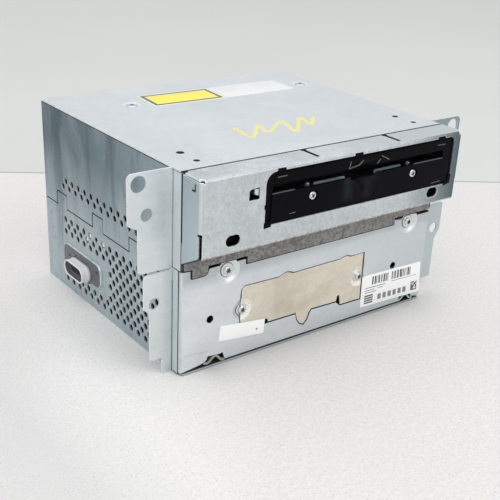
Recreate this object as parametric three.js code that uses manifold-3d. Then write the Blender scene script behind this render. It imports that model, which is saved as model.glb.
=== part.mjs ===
// Two-slot-high car head unit: a galvanised steel case with a disc drive in its
// upper half and a hard disk and electronics in its lower half.
// Millimetres, +Z up. Seen from the front, +X is to the right and +Y to the rear.
import * as THREE from 'three';
import { mergeVertices } from 'three/addons/utils/BufferGeometryUtils.js';
import Module from 'manifold-3d';

const wasm = await Module();
wasm.setup();

// ---- driving dimensions -------------------------------------------------
const W = 178;            // case width
const H = 112.2;          // case height
const D = 152.4;          // case depth behind the lower front plate
const P = 16.1;           // how far the drive bezel stands in front of it
const T = 1.0;            // sheet thickness
const REAR = 164.4;       // rear end of the connectors
const EAR = 115;          // half width over the upper ears
const EAR_Y = 7.9;        // front face of the ears
const SEAM = 52.4;        // joint between upper and lower side walls
const BEZEL_Z = 72.2;     // lower edge of the bezel's front face
const HW = W / 2;
const YC = (REAR - P) / 2; // middle of the overall depth

const XS = 14.5;          // middle of the disc path
const SPINDLE_Y = 73;
const SLOT_X0 = -46.4, SLOT_X1 = 75.4, SLOT_Z0 = 98.7, SLOT_Z1 = 103.0;
const DECK_Z = 90;        // underside of the drive deck
const SEAT_Z = 96.8;      // disc seat on the turntable

const ARM_Y = 145.0, ARM_Z = 103.4;      // clamp arm pivot
const ARM_LIFT = 4.9 * Math.PI / 180;    // how far the arm is lifted at rest

const MODULE_ = 0.6;      // tooth module of the loading train
const ROLLER = { y: 6, z: 95.2, n: 14 };
const IDLER = { y: 14, z: 88.87, n: 20 };
const PINION = { y: 23, z: 88.87, n: 10 };

const SCREW_X = 36.5, SCREW_Z = 87.0;    // lead screw
const ROD_X = 3.5, ROD_Z = 87.5;         // guide rod

const FAN = { x: -50, z: 26, size: 40, y0: 140, y1: 150.9 };

// ---- solids -------------------------------------------------------------
function solid(geo) {
  let g = geo.index ? geo.toNonIndexed() : geo.clone();
  for (const a of Object.keys(g.attributes)) if (a !== 'position') g.deleteAttribute(a);
  g = mergeVertices(g, 1e-4);
  const p = g.attributes.position.array, ix = g.index.array, tri = [];
  let vol = 0;
  for (let i = 0; i < ix.length; i += 3) {
    const [a, b, c] = [ix[i], ix[i + 1], ix[i + 2]];
    if (a === b || b === c || a === c) continue;
    tri.push(a, b, c);
    const [ax, ay, az] = [p[3 * a], p[3 * a + 1], p[3 * a + 2]];
    const [bx, by, bz] = [p[3 * b], p[3 * b + 1], p[3 * b + 2]];
    const [cx, cy, cz] = [p[3 * c], p[3 * c + 1], p[3 * c + 2]];
    vol += ax * (by * cz - bz * cy) + ay * (bz * cx - bx * cz) + az * (bx * cy - by * cx);
  }
  if (vol < 0) for (let i = 0; i < tri.length; i += 3) [tri[i], tri[i + 1]] = [tri[i + 1], tri[i]];
  const m = new wasm.Mesh({ numProp: 3, vertProperties: new Float32Array(p), triVerts: new Uint32Array(tri) });
  return new wasm.Manifold(m);
}
function box(x0, y0, z0, x1, y1, z1) {
  const g = new THREE.BoxGeometry(x1 - x0, y1 - y0, z1 - z0);
  g.translate((x0 + x1) / 2, (y0 + y1) / 2, (z0 + z1) / 2);
  return solid(g);
}
const V2 = (p) => new THREE.Vector2(p[0], p[1]);
const extrude = (outer, depth) =>
  new THREE.ExtrudeGeometry(new THREE.Shape(outer.map(V2)), { depth, bevelEnabled: false, steps: 1, curveSegments: 1 });
const OVER = 0.5; // how far a cutter reaches past the faces it cuts
const CYCLIC = new THREE.Matrix4().makeBasis(
  new THREE.Vector3(0, 1, 0), new THREE.Vector3(0, 0, 1), new THREE.Vector3(1, 0, 0));
function prism(place, outer, a0, a1, holes) {
  let s = solid(place(extrude(outer, a1 - a0), a0, a1));
  for (const h of holes) s = s.subtract(solid(place(extrude(h, a1 - a0 + 2 * OVER), a0 - OVER, a1 + OVER)));
  return s;
}
// outline in (x, y), from z0 to z1
const prismZ = (outer, z0, z1, holes = []) => prism((g, a) => g.translate(0, 0, a), outer, z0, z1, holes);
// outline in (x, z), from y0 to y1
const prismY = (outer, y0, y1, holes = []) => prism((g, a, b) => g.rotateX(Math.PI / 2).translate(0, b, 0), outer, y0, y1, holes);
// outline in (y, z), from x0 to x1
const prismX = (outer, x0, x1, holes = []) => prism((g, a) => g.applyMatrix4(CYCLIC).translate(a, 0, 0), outer, x0, x1, holes);
// [radius, position along the axis] pairs turned about an axis through (x, y, z)
function turned(profile, seg, axis, x, y, z) {
  const pts = profile.map(V2);
  if (profile[0][0] > 0) pts.push(pts[0].clone());
  const g = new THREE.LatheGeometry(pts, seg);
  if (axis === 'z') g.rotateX(Math.PI / 2);
  if (axis === 'x') g.rotateZ(-Math.PI / 2);
  g.translate(x, y, z);
  return solid(g);
}
const rod = (r, a0, a1, seg, axis, x, y, z) =>
  turned([[0, a0], [r, a0], [r, a1], [0, a1]], seg, axis, x, y, z);
const join = (...s) => s.reduce((a, b) => a.add(b));
const cut = (a, ...s) => s.reduce((x, b) => x.subtract(b), a);

// ---- outlines -----------------------------------------------------------
function circle(cx, cy, r, n, phase = 0) {
  const out = [];
  for (let i = 0; i < n; i++) {
    const a = phase + 2 * Math.PI * i / n;
    out.push([cx + r * Math.cos(a), cy + r * Math.sin(a)]);
  }
  return out;
}
// polygon with rounded corners: [x, y, r] triples
function rounded(pts, seg = 3) {
  const out = [];
  const n = pts.length;
  for (let i = 0; i < n; i++) {
    const [x, y, r = 0] = pts[i];
    if (!r) { out.push([x, y]); continue; }
    const a = pts[(i + n - 1) % n], b = pts[(i + 1) % n];
    const u = new THREE.Vector2(a[0] - x, a[1] - y).normalize();
    const v = new THREE.Vector2(b[0] - x, b[1] - y).normalize();
    const half = Math.acos(THREE.MathUtils.clamp(u.dot(v), -1, 1)) / 2;
    const d = r / Math.tan(half);
    const p0 = new THREE.Vector2(x, y).addScaledVector(u, d);
    const p1 = new THREE.Vector2(x, y).addScaledVector(v, d);
    const c = new THREE.Vector2(x, y).addScaledVector(u.clone().add(v).normalize(), r / Math.sin(half));
    let a0 = Math.atan2(p0.y - c.y, p0.x - c.x), a1 = Math.atan2(p1.y - c.y, p1.x - c.x);
    while (a1 - a0 > Math.PI) a1 -= 2 * Math.PI;
    while (a1 - a0 < -Math.PI) a1 += 2 * Math.PI;
    for (let k = 0; k <= seg; k++) {
      const t = a0 + (a1 - a0) * k / seg;
      out.push([c.x + r * Math.cos(t), c.y + r * Math.sin(t)]);
    }
  }
  return out;
}
const rect = (x0, y0, x1, y1, r = 0, seg = 3) =>
  rounded([[x0, y0, r], [x1, y0, r], [x1, y1, r], [x0, y1, r]], seg);
// moves every edge of a counter-clockwise polygon outwards by d
function grow(pts, d) {
  const n = pts.length, out = [];
  for (let i = 0; i < n; i++) {
    const a = pts[(i + n - 1) % n], b = pts[i], c = pts[(i + 1) % n];
    const e1 = [b[0] - a[0], b[1] - a[1]], e2 = [c[0] - b[0], c[1] - b[1]];
    const l1 = Math.hypot(...e1), l2 = Math.hypot(...e2);
    const n1 = [e1[1] / l1, -e1[0] / l1], n2 = [e2[1] / l2, -e2[0] / l2];
    const k = 1 + n1[0] * n2[0] + n1[1] * n2[1];
    out.push([b[0] + d * (n1[0] + n2[0]) / k, b[1] + d * (n1[1] + n2[1]) / k]);
  }
  return out;
}
const mirrorX = (pts) => pts.map(([x, z, r]) => [-x, z, r]).reverse();

// ---- assembly -----------------------------------------------------------
const unit = new THREE.Group();
unit.name = 'head_unit';
unit.position.set(0, -YC, 0);

function put(name, man, color, roughness, metalness) {
  const m = man.getMesh();
  const g = new THREE.BufferGeometry();
  const np = m.numProp, src = m.vertProperties, n = src.length / np;
  const pos = new Float32Array(n * 3);
  for (let i = 0; i < n; i++) for (let k = 0; k < 3; k++) pos[3 * i + k] = src[np * i + k];
  g.setAttribute('position', new THREE.BufferAttribute(pos, 3));
  g.setIndex(new THREE.BufferAttribute(new Uint32Array(m.triVerts), 1));
  g.computeVertexNormals();
  const mesh = new THREE.Mesh(g, new THREE.MeshStandardMaterial({ color, roughness, metalness, flatShading: true }));
  mesh.name = name;
  unit.add(mesh);
}
const STEEL = [0xc9d0d4, 0.42, 0.85], SIDE = [0xa9b5bd, 0.45, 0.85], DULL = [0x9a958f, 0.6, 0.8];
const BLACK = [0x17161b, 0.5, 0.0], RUBBER = [0x151515, 0.85, 0.0], WHITE = [0xe9e9e6, 0.6, 0.0];
const BRIGHT = [0xd8dcde, 0.3, 0.95], GREY = [0xcfd0d2, 0.55, 0.0];

// -- case: top cover ------------------------------------------------------
const topHoles = [
  circle(-48.3, 117.2, 3.7, 12), circle(78.3, 116.2, 3.7, 12),
  rect(-74.4, 23.0, -72.9, 28.6), rect(-74.4, 8.4, -72.9, 13.9),
  rect(72.9, 23.0, 74.4, 28.6), rect(72.9, 8.4, 74.4, 13.9),
];
put('top_cover', prismZ(rect(-HW, 0.1, HW, D), H - T, H, topHoles), ...STEEL);

// -- case: side walls with their ears and air holes -----------------------
const vent = (y, z) => circle(y, z, 1.65, 4, 0);
function row(z, first, pitch, n, skip = () => false) {
  const out = [];
  for (let k = 0; k < n; k++) { const y = first - pitch * k; if (!skip(y)) out.push(vent(y, z)); }
  return out;
}
const upperVents = [...row(69.6, 124.6, 7.7, 12), ...row(65.6, 128.4, 7.7, 12)];
function lowerVents(full) {
  const out = [];
  out.push(...row(45.1, 127.0, 7.7, 14), ...row(41.3, 123.1, 7.7, 14));
  if (full) {
    out.push(...row(37.4, 127.0, 7.7, 14));
    for (const z of [33.6, 25.9, 18.1]) out.push(...row(z, 123.1 - 7.7 * 7, 7.7, 7));
    for (const z of [29.7, 22.0, 14.3]) out.push(...row(z, 127.0 - 7.7 * 7, 7.7, 7));
  }
  out.push(...row(10.4, 123.1, 7.7, 14), ...row(6.6, 127.0, 7.7, 14));
  return out;
}
const NOTCH = [[38.6, 51.4], [80.1, 92.6], [123.9, 136.6]];
function upperWall() {
  const o = [[EAR_Y, SEAM]];
  for (const [a, b] of NOTCH) o.push([a, SEAM], [a, 60.9], [b, 60.9], [b, SEAM]);
  o.push([D, SEAM], [D, H - T], [EAR_Y, H - T]);
  return o;
}
function lowerWall() {
  const o = [[EAR_Y, 0], [D, 0], [D, SEAM - 0.3]];
  for (const [a, b] of [...NOTCH].reverse())
    o.push([b - 0.4, SEAM - 0.3], [b - 0.4, 60.5], [a + 0.4, 60.5], [a + 0.4, SEAM - 0.3]);
  o.push([EAR_Y, SEAM - 0.3]);
  return o;
}
const upperEar = rounded([[-HW + T, 60.0], [-HW + T, H - T], [-HW - 0.1, H - T], [-HW - 0.1, H],
  [-EAR, H, 3], [-EAR, 86.5], [-108.6, 83.6], [-108.6, 60.0, 2]]);
const upperEarHoles = [circle(-108, 106.5, 4.2, 12), circle(-103.6, 90.4, 3.35, 12)];
const lowerEarL = rounded([[-HW + T, 0], [-HW + T, SEAM - 0.3], [-HW - 0.2, SEAM - 0.3], [-HW - 0.2, 58.6],
  [-105.6, 58.6, 2.5], [-105.6, 40], [-102.2, 37], [-102.2, 9.5, 1.5], [-95, 9.5], [-95, 0]]);
const lowerEarR = mirrorX([[-HW + T, 0, 0], [-HW + T, SEAM - 0.3, 0], [-HW - 0.2, SEAM - 0.3, 0], [-HW - 0.2, 58.6, 0],
  [-109.2, 58.6, 2.5], [-109.2, 40.3, 0], [-105.5, 34.7, 0], [-105.5, 8.2, 1.5], [-95, 8.2, 0], [-95, 0, 0]]);
const portHole = rect(94.0, 14.8, 118.3, 26.0, 5.4, 4);
put('upper_side_left', join(prismX(upperWall(), -HW, -HW + T, upperVents),
  prismY(upperEar, EAR_Y, EAR_Y + T, upperEarHoles)), ...SIDE);
put('upper_side_right', join(prismX(upperWall(), HW - T, HW, upperVents),
  prismY(mirrorX(upperEar), EAR_Y, EAR_Y + T, upperEarHoles.map((h) => mirrorX(h).map(([x, z]) => [x, z])))), ...SIDE);
put('lower_side_left', join(prismX(lowerWall(), -HW, -HW + T, [...lowerVents(true), portHole]),
  prismY(lowerEarL, EAR_Y, EAR_Y + T, [circle(-99.5, 42.2, 3.1, 12)])), ...SIDE);
put('lower_side_right', join(prismX(lowerWall(), HW - T, HW, lowerVents(false)),
  prismY(rounded(lowerEarR), EAR_Y, EAR_Y + T, [circle(103.2, 41.9, 3.1, 12)])), ...SIDE);
put('base_pan', box(-87.9, 1.3, 0, 87.9, 151.2, T), ...SIDE);

// -- case: rear panel with a grille and two cut-outs ----------------------
const grille = [circle(FAN.x, FAN.z, 2.6, 6)];
for (let i = 0; i < 6; i++) grille.push(circle(FAN.x + 7 * Math.cos(i * Math.PI / 3), FAN.z + 7 * Math.sin(i * Math.PI / 3), 2.6, 6));
for (let i = 0; i < 12; i++) grille.push(circle(FAN.x + 14 * Math.cos(i * Math.PI / 6), FAN.z + 14 * Math.sin(i * Math.PI / 6), 2.6, 6));
put('rear_panel', prismY(rect(-87.9, 1.3, 87.9, 110.9), D - T, D,
  [...grille, rect(-22.3, 7.7, 26.3, 40.3), rect(39.7, 9.7, 80.3, 24.3)]), ...SIDE);

// -- case: front corner posts --------------------------------------------
for (const s of [-1, 1]) {
  const x = (a, b) => (s < 0 ? [-b, -a] : [a, b]);
  const [a0, a1] = x(HW - T, HW), [b0, b1] = x(84.6, HW - T + 0.1);
  put(s < 0 ? 'front_post_left' : 'front_post_right',
    join(box(a0, 0.3, 60.2, a1, 7.5, 110.9), box(b0, 0.3, 65.6, b1, 1.3, 110.9)), ...STEEL);
}

// -- drive bezel ----------------------------------------------------------
const CLIPS = [[-43.9, -39.2], [7.0, 12.2], [69.8, 75.0]];
const opening = rounded([[-50.9, 82.3], [82.8, 82.3, 1.8], [82.8, 109.8, 3.6], [-50.9, 109.8, 6.5]], 4);
const stadium = (cx, cz, w, h) => rect(cx - w / 2, cz - h / 2, cx + w / 2, cz + h / 2, h / 2 - 0.01, 4);
const face = prismY(rect(-HW, BEZEL_Z, HW, H), -P, -P + T,
  [opening, stadium(-69.7, 78.7, 8.7, 5.85), stadium(69.7, 78.7, 8.7, 5.85), rect(-61, 97.3, -54.3, 103.3)]);
const flange = prismZ(rect(-HW, -P + 0.9, HW, -0.3), H - T, H,
  [rect(-16.7, -13.1, -15.4, -1.6), rect(40.9, -13.3, 42.2, -1.8)]);
const bezelSide = [[-P + 0.9, 74.2], [-0.5, 66.0], [-0.5, H - T + 0.1], [-P + 0.9, H - T + 0.1]];
const slope = prismX([[-P, BEZEL_Z], [0, 63.9], [1.0, 63.9], [1.0, 64.5], [-P + 1.0, 72.85], [-P, 73.3]], -87.6, 87.6);
const lipOutline = rounded([[-87.4, 64.2], [-87.4, 59.9], [-82.5, 59.6], [-82.5, 54.7, 1], [-72.4, 54.7, 3], [-72.4, 59.6],
  [-48.1, 59.6], [-48.1, 55.4, 0.8], [59.3, 55.4, 0.8], [59.3, 59.6], [87.4, 59.8], [87.4, 64.2]], 2);
const lip = prismY(lipOutline, 0, T);
let bezel = join(face, flange, slope, lip,
  prismX(bezelSide, -HW, -HW + T), prismX(bezelSide, HW - T, HW));
for (const [a, b] of CLIPS) bezel = cut(bezel, box(a - 0.3, -P - 1, 109.5, b + 0.3, -P + 1.2, 111.05));
put('drive_bezel', bezel, ...STEEL);

// -- disc slot fascia -----------------------------------------------------
const fasciaFront = rounded([[-50.6, 82.6], [82.5, 82.6, 1.6], [82.5, 109.5, 3.4], [-50.6, 109.5, 6.3]], 4);
const slotHole = rect(SLOT_X0, SLOT_Z0, SLOT_X1, SLOT_Z1);
let fascia = join(prismY(fasciaFront, -15.9, -13.5), prismY(rect(-52.9, 80.6, 84.5, 110.8, 2), -14.8, -12.0));
for (const [a, b] of CLIPS) fascia = join(fascia, box(a, -P + 0.02, 109.3, b, -14.4, 110.75));
fascia = cut(fascia, prismY(slotHole, -20, -10));
for (const x of [-20.1, 52.1]) fascia = cut(fascia, rod(1.6, -17, -11, 10, 'y', x, 0, 92.75), rod(2.6, -17, -14.9, 12, 'y', x, 0, 92.75));
put('slot_fascia', fascia, ...BLACK);

// -- lower front plate ----------------------------------------------------
const coverOutline = [[-50.6, 42.4], [-50.6, 16.7], [-35.2, 16.7], [-33.6, 18.7], [-32.3, 16.7], [-12, 16.6], [-11, 12.4],
  [-8.6, 9.2], [-6.1, 8.2], [-3.9, 10.4], [-2.4, 14.6], [-0.9, 16.4], [18.2, 16.0], [19.9, 19.0], [21.9, 13.2], [37.0, 13.0],
  [36.6, 42.3], [26.2, 42.4], [23.9, 43.5], [21.2, 43.3], [18.6, 42.5], [-16.1, 42.2], [-18.2, 43.2], [-20.6, 43.7], [-22.8, 43.3], [-25.4, 42.0]];
const COVER_SCREWS = [[-50.4, 28.2], [34.2, 28.1]];
const PLATE_SCREWS = [[-59.6, 53.9], [71.3, 54.8]];
const plateOutline = [[-HW, 0], [HW, 0], [HW, 59.2], [59.7, 59.2], [59.7, 55.0], [-48.5, 55.0], [-48.5, 59.2],
  [-72.0, 59.2], [-72.0, 54.3], [-82.9, 54.3], [-82.9, 59.2], [-HW, 59.2]];
let plate = prismY(plateOutline, 0, T, [circle(-70.8, 29.0, 1.7, 8), circle(61.9, 28.7, 1.7, 8),
  rect(-72, 3.7, -62, 6.4), rect(70, 2.2, 81, 4.6)]);
let window_ = prismY(grow(coverOutline, 0.35), -1, 2);
for (const [x, z] of COVER_SCREWS) window_ = cut(window_, rod(6.0, -2, 3, 12, 'y', x, 0, z));
plate = cut(plate, window_);
for (const [x, z] of PLATE_SCREWS) {
  plate = join(plate, turned([[0, 0.5], [9.6, 0.5], [5.6, 2.2], [0, 2.2]], 12, 'y', x, 0, z));
  plate = cut(plate, turned([[0, -0.2], [9.2, -0.2], [4.8, 1.2], [0, 1.2]], 12, 'y', x, 0, z), rod(1.7, -3, 4, 8, 'y', x, 0, z));
}
for (const [x, z] of COVER_SCREWS) {
  plate = join(plate, turned([[0, 0.5], [5.9, 0.5], [4.6, 1.6], [0, 1.6]], 12, 'y', x, 0, z));
  plate = cut(plate, turned([[0, -0.2], [5.6, -0.2], [3.8, 0.6], [0, 0.6]], 12, 'y', x, 0, z), rod(1.5, -3, 4, 8, 'y', x, 0, z));
}
plate = plate.intersect(prismY(plateOutline, -1, 5));
plate = join(plate, box(-HW, T - 0.1, 0, -HW + T, 7.5, 59.2), box(HW - T, T - 0.1, 0, HW, 7.5, 59.2));
put('lower_front_plate', plate, ...STEEL);

let cover = prismY(coverOutline, 0.3, 0.9);
for (const [x, z] of COVER_SCREWS) cover = cut(cover, rod(6.3, -2, 3, 12, 'y', x, 0, z));
put('hdd_access_cover', cover, 0xcdc3b4, 0.4, 0.8);

// -- port on the left side ------------------------------------------------
const spigotOuter = rect(94.6, 15.4, 117.7, 25.4, 4.9, 4);
put('side_port_flange', prismX(rect(82.3, 14.0, 127.8, 31.0, 5, 4), -HW - 0.9, -HW - 0.1, [rect(94.2, 15.0, 118.1, 25.8, 5.2, 4)]), 0x8e9196, 0.5, 0.6);
put('side_port_spigot', join(
  prismX(spigotOuter, -95.6, -86.5, [rect(96.1, 16.9, 116.2, 23.9, 3.4, 4)]),
  prismX(spigotOuter, -87.9, -86.5, [rect(102.0, 20.9, 115.0, 23.3)])), ...GREY);

// -- labels ---------------------------------------------------------------
put('top_label_yellow', prismZ([[-38.7, 106.9], [11.2, 105.6], [13.3, 131.0], [-36.4, 132.5]], H + 0.05, H + 0.25), 0xf2df2f, 0.55, 0);
put('top_label_white', prismZ([[11.6, 105.6], [65.3, 106.0], [66.1, 130.4], [13.7, 131.6]], H + 0.05, H + 0.25), ...WHITE);
put('front_label_bars', prismY([[37.7, 6.7], [88.3, 5.0], [86.3, 25.7], [37.3, 27.1]], -0.25, -0.05), ...WHITE);
put('front_label_blank', prismY([[-65, 14.1], [-35, 10.8], [-34.3, 19.4], [-64.1, 22.9]], -0.25, -0.05), ...WHITE);

// -- screws ---------------------------------------------------------------
const screwY = (x, z, y0, rh, hh, rs, len) =>
  turned([[0, y0], [rh * 0.8, y0], [rh, y0 + hh * 0.35], [rh, y0 + hh], [rs, y0 + hh], [rs, y0 + len], [0, y0 + len]], 10, 'y', x, 0, z);
put('fascia_screw_left', screwY(-20.1, 92.75, -15.85, 2.15, 0.85, 1.25, 8), ...BRIGHT);
put('fascia_screw_right', screwY(52.1, 92.75, -15.85, 2.15, 0.85, 1.25, 8), ...BRIGHT);
put('plate_screw_left', screwY(-59.6, 53.9, -0.6, 3.0, 1.75, 1.35, 8), ...BRIGHT);
put('plate_screw_right', screwY(71.3, 54.8, -0.6, 3.0, 1.75, 1.35, 8), ...BRIGHT);
put('cover_screw_left', screwY(-50.4, 28.2, -0.9, 2.75, 1.45, 1.2, 7), ...BRIGHT);
put('cover_screw_right', screwY(34.2, 28.1, -0.9, 2.75, 1.45, 1.2, 7), ...BRIGHT);
const topScrew = (x, y) => turned([[0, 104.5], [1.3, 104.5], [1.3, 111.0], [3.3, 111.3], [3.3, 111.9], [2.7, 112.15], [0, 112.15]], 10, 'z', x, y, 0);
put('top_screw_left', topScrew(-48.3, 117.2), ...BRIGHT);
put('top_screw_right', topScrew(78.3, 116.2), ...BRIGHT);

// -- rear connectors ------------------------------------------------------
put('main_connector', cut(box(-22, 145.5, 8, 26, REAR, 40), box(-19.6, 152.6, 10.4, 23.6, REAR + 1, 37.6)), ...BLACK);
let coax = box(40, 145.5, 10, 80, 157.5, 24);
for (const x of [45.5, 55.2, 64.9, 74.6]) coax = join(coax, rod(4.4, 157.4, REAR, 12, 'y', x, 0, 17));
for (const x of [45.5, 55.2, 64.9, 74.6]) coax = cut(coax, rod(2.0, 158.5, REAR + 1, 10, 'y', x, 0, 17));
put('coax_connector', coax, 0x3a5a8c, 0.5, 0);

// -- fan ------------------------------------------------------------------
const fs = FAN.size / 2;
let fanFrame = prismY(rect(FAN.x - fs, FAN.z - fs, FAN.x + fs, FAN.z + fs, 2.5, 2), FAN.y0, FAN.y1, [circle(FAN.x, FAN.z, 19, 20)]);
fanFrame = join(fanFrame, rod(9, FAN.y1 - 1.4, FAN.y1, 16, 'y', FAN.x, 0, FAN.z),
  box(FAN.x - 19.3, FAN.y1 - 1.4, FAN.z - 1, FAN.x + 19.3, FAN.y1, FAN.z + 1),
  box(FAN.x - 1, FAN.y1 - 1.4, FAN.z - 19.3, FAN.x + 1, FAN.y1, FAN.z + 19.3));
put('fan_housing', fanFrame, ...BLACK);
let fanRotor = rod(9.5, FAN.y0 + 0.4, FAN.y1 - 1.9, 16, 'y', FAN.x, 0, FAN.z);
for (let i = 0; i < 7; i++) {
  const g = new THREE.BoxGeometry(9.6, 1.1, 8.6);
  g.rotateX(-0.6);
  g.translate(8.6 + 4.4, 0, 0);
  g.rotateY(2 * Math.PI * i / 7);
  g.translate(FAN.x, (FAN.y0 + FAN.y1) / 2 - 0.7, FAN.z);
  fanRotor = join(fanRotor, solid(g));
}
fanRotor = fanRotor.intersect(rod(18.2, FAN.y0 + 0.3, FAN.y1 - 1.8, 24, 'y', FAN.x, 0, FAN.z));
put('fan_rotor', fanRotor, ...BLACK);

// -- electronics and hard disk -------------------------------------------
put('main_board', join(box(-84, 14, 46, 84, 138, 47.6), box(-60, 40, 47.6, -32, 68, 50.4), box(-10, 50, 47.6, 10, 70, 49.8),
  box(-70, 90, 47.6, -50, 116, 52), box(-40, 128, 47.6, -2, 135, 50), box(30, 24, 47.6, 44, 34, 55), box(50, 24, 47.6, 64, 34, 55)), 0x1f5a37, 0.6, 0);
let sink = box(44, 84, 48.0, 82, 128, 51);
for (let i = 0; i < 8; i++) sink = join(sink, box(44 + i * 5.2, 84, 50.5, 45.6 + i * 5.2, 128, 67));
put('heat_sink', sink, 0x9aa0a4, 0.5, 0.9);
put('hard_disk_drive', join(prismZ(rect(-42, 6, 28, 106, 3), 20.5, 28.5), prismZ(rect(-39, 9, 25, 92, 4), 28.5, 30)), 0xb4b8bb, 0.35, 0.9);
put('hdd_tray', join(box(-46, 5, 18.4, 32, 112, 19.6), box(-46, 5, 19.5, -44.8, 112, 33), box(30.8, 5, 19.5, 32, 112, 33)), ...STEEL);

// -- drive carrier and dampers -------------------------------------------
put('drive_carrier', join(box(-87.6, 9.5, 70.2, 87.6, 139, 71.2), box(-87.6, 9.5, 71.1, -86.6, 139, 77), box(86.6, 9.5, 71.1, 87.6, 139, 77)), ...STEEL);
const DAMPERS = { front_left: [-46, 40], front_right: [75, 12], rear_left: [-46, 131], rear_right: [75, 131] };
for (const [k, [x, y]] of Object.entries(DAMPERS)) {
  put('damper_' + k, turned([[0, 71.5], [6, 71.5], [6, 74.5], [4.4, 76.2], [5.6, 78.6], [4.4, 81], [5.6, 83.4], [4, 86], [4, 89.7], [0, 89.7]], 8, 'z', x, y, 0), ...RUBBER);
}

// -- drive deck -----------------------------------------------------------
const deckOutline = [[-54, -9], [84, -9], [84, 149], [-54, 149], [-54, 31], [-26, 31], [-26, 12], [-48, 12], [-48, 0], [-54, 0]];
const sledWindow = [[-3, 86.5], [30, 86.5], [30, 58], [43, 58], [43, 145], [-3, 145]];
let deck = prismZ(deckOutline, DECK_Z, DECK_Z + 1, [sledWindow, circle(XS, SPINDLE_Y, 5, 14)]);
deck = join(deck, box(31.5, 146.4, 83, 41.5, 148, 90.1), box(0, 80.6, 84, 7, 82.2, 90.1), box(0, 147.4, 84, 7, 149, 90.1));
put('drive_deck', deck, ...BRIGHT);

// -- disc guide with its side walls --------------------------------------
const guideHole = circle(ROLLER.y, ROLLER.z, 1.9, 10);
const sideWallOutline = [[-9, 91.3], [138, 91.3], [138, 98.5], [38, 104.9], [-9, 104.9]];
let guide = join(box(-54, -9, 104.1, 84, 38, 104.9),
  prismX(sideWallOutline, -54, -53.2, [guideHole]), prismX(sideWallOutline, 83.2, 84, [guideHole]));
for (const x of [-40, -14, XS, 43, 69]) guide = join(guide, box(x - 0.6, -8, 103.2, x + 0.6, 37, 104.2));
guide = join(guide, rod(1.2, -53.5, -48.6, 10, 'x', 0, IDLER.y, IDLER.z),
  prismX([[11, 86.5], [17, 86.5], [17, 91.4], [11, 91.4]], -54, -53.2));
put('upper_disc_guide', guide, ...BRIGHT);

// -- spindle --------------------------------------------------------------
put('spindle_motor', turned([[0, 81.5], [10, 81.5], [10, 89.7], [4, 89.7], [4, 92.5], [1.3, 92.5], [1.3, 93.7], [0, 93.7]], 20, 'z', XS, SPINDLE_Y, 0), ...BRIGHT);
put('turntable', turned([[0, 94.0], [5, 94.0], [5, 94.8], [14, 94.8], [14, SEAT_Z], [7.3, SEAT_Z], [7.0, 97.8], [5.6, 98.6], [0, 98.6]], 18, 'z', XS, SPINDLE_Y, 0), ...BLACK);

// -- clamp arm and puck, drawn closed and then lifted ---------------------
function lifted(man) {
  const m = man.getMesh();
  const g = new THREE.BufferGeometry();
  g.setAttribute('position', new THREE.BufferAttribute(new Float32Array(m.vertProperties), 3));
  g.setIndex(new THREE.BufferAttribute(new Uint32Array(m.triVerts), 1));
  g.translate(0, -ARM_Y, -ARM_Z);
  g.rotateX(-ARM_LIFT);
  g.translate(0, ARM_Y, ARM_Z);
  return solid(g);
}
const armOutline = [[XS - 9.5, 144], [XS - 8, 90], [XS - 11, 80], [XS - 11, 66], [XS - 6, 60.5], [XS + 6, 60.5], [XS + 11, 66], [XS + 11, 80], [XS + 8, 90], [XS + 9.5, 144]].reverse();
let arm = join(prismZ(armOutline, 102.0, 102.8), rod(2.2, XS - 9.5, XS + 9.5, 14, 'x', 0, ARM_Y, ARM_Z));
arm = cut(arm, rod(1.5, XS - 12, XS + 12, 12, 'x', 0, ARM_Y, ARM_Z), rod(4.0, 100, 105, 16, 'z', XS, SPINDLE_Y, 0));
put('clamp_arm', lifted(arm), ...STEEL);
put('clamp_puck', lifted(turned([[0, 99.4], [7.8, 99.4], [7.8, 98.05], [12, 98.05], [12, 100.4], [11, 101.2], [3.3, 101.2], [3.3, 103.2], [5.5, 103.2], [5.5, 103.9], [0, 103.9]], 14, 'z', XS, SPINDLE_Y, 0)), ...BLACK);

// bracket at the rear: arch over the sled, pivot ears and pin, and two shelves
let bracket = prismY([[-30, 91.3], [-20, 91.3], [-20, 97.5], [48, 97.5], [48, 91.3], [59, 91.3], [59, 106], [-30, 106]].map(([x, z]) => [x, z]), 147.5, 148.7);
const earProfile = [[142.2, 101.0], [147.6, 101.0], [147.6, 105.8], [142.2, 105.8]];
bracket = join(bracket, prismX(earProfile, XS - 11.3, XS - 9.9), prismX(earProfile, XS + 9.9, XS + 11.3),
  rod(1.2, XS - 10.5, XS + 10.5, 12, 'x', 0, ARM_Y, ARM_Z),
  box(-30, 134.5, 105.2, -17, 147.6, 106), box(46, 134.5, 105.2, 59, 147.6, 106),
  rod(1.5, 103.5, 105.4, 10, 'z', XS - 38, 140, 0), rod(1.5, 103.5, 105.4, 10, 'z', XS + 38, 140, 0));
put('clamp_bracket', bracket, ...BRIGHT);

// -- disc levers ----------------------------------------------------------
function lever(s) {
  const px = XS + s * 38, qx = XS + s * 46;
  const o = [[px + 4.2, 140], [px + 2.2, 143.6], [px - 2.2, 143.6], [px - 4.2, 140], [qx - 3, 108], [qx - 1.6, 105.4], [qx + 1.6, 105.4], [qx + 3, 108]];
  return cut(join(prismZ([...o].reverse(), 104.0, 104.8), rod(1.6, 98.9, 104.1, 10, 'z', qx, 108, 0)),
    rod(1.85, 103, 106, 12, 'z', px, 140, 0));
}
put('disc_lever_left', lever(-1), ...STEEL);
put('disc_lever_right', lever(1), ...STEEL);

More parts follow.
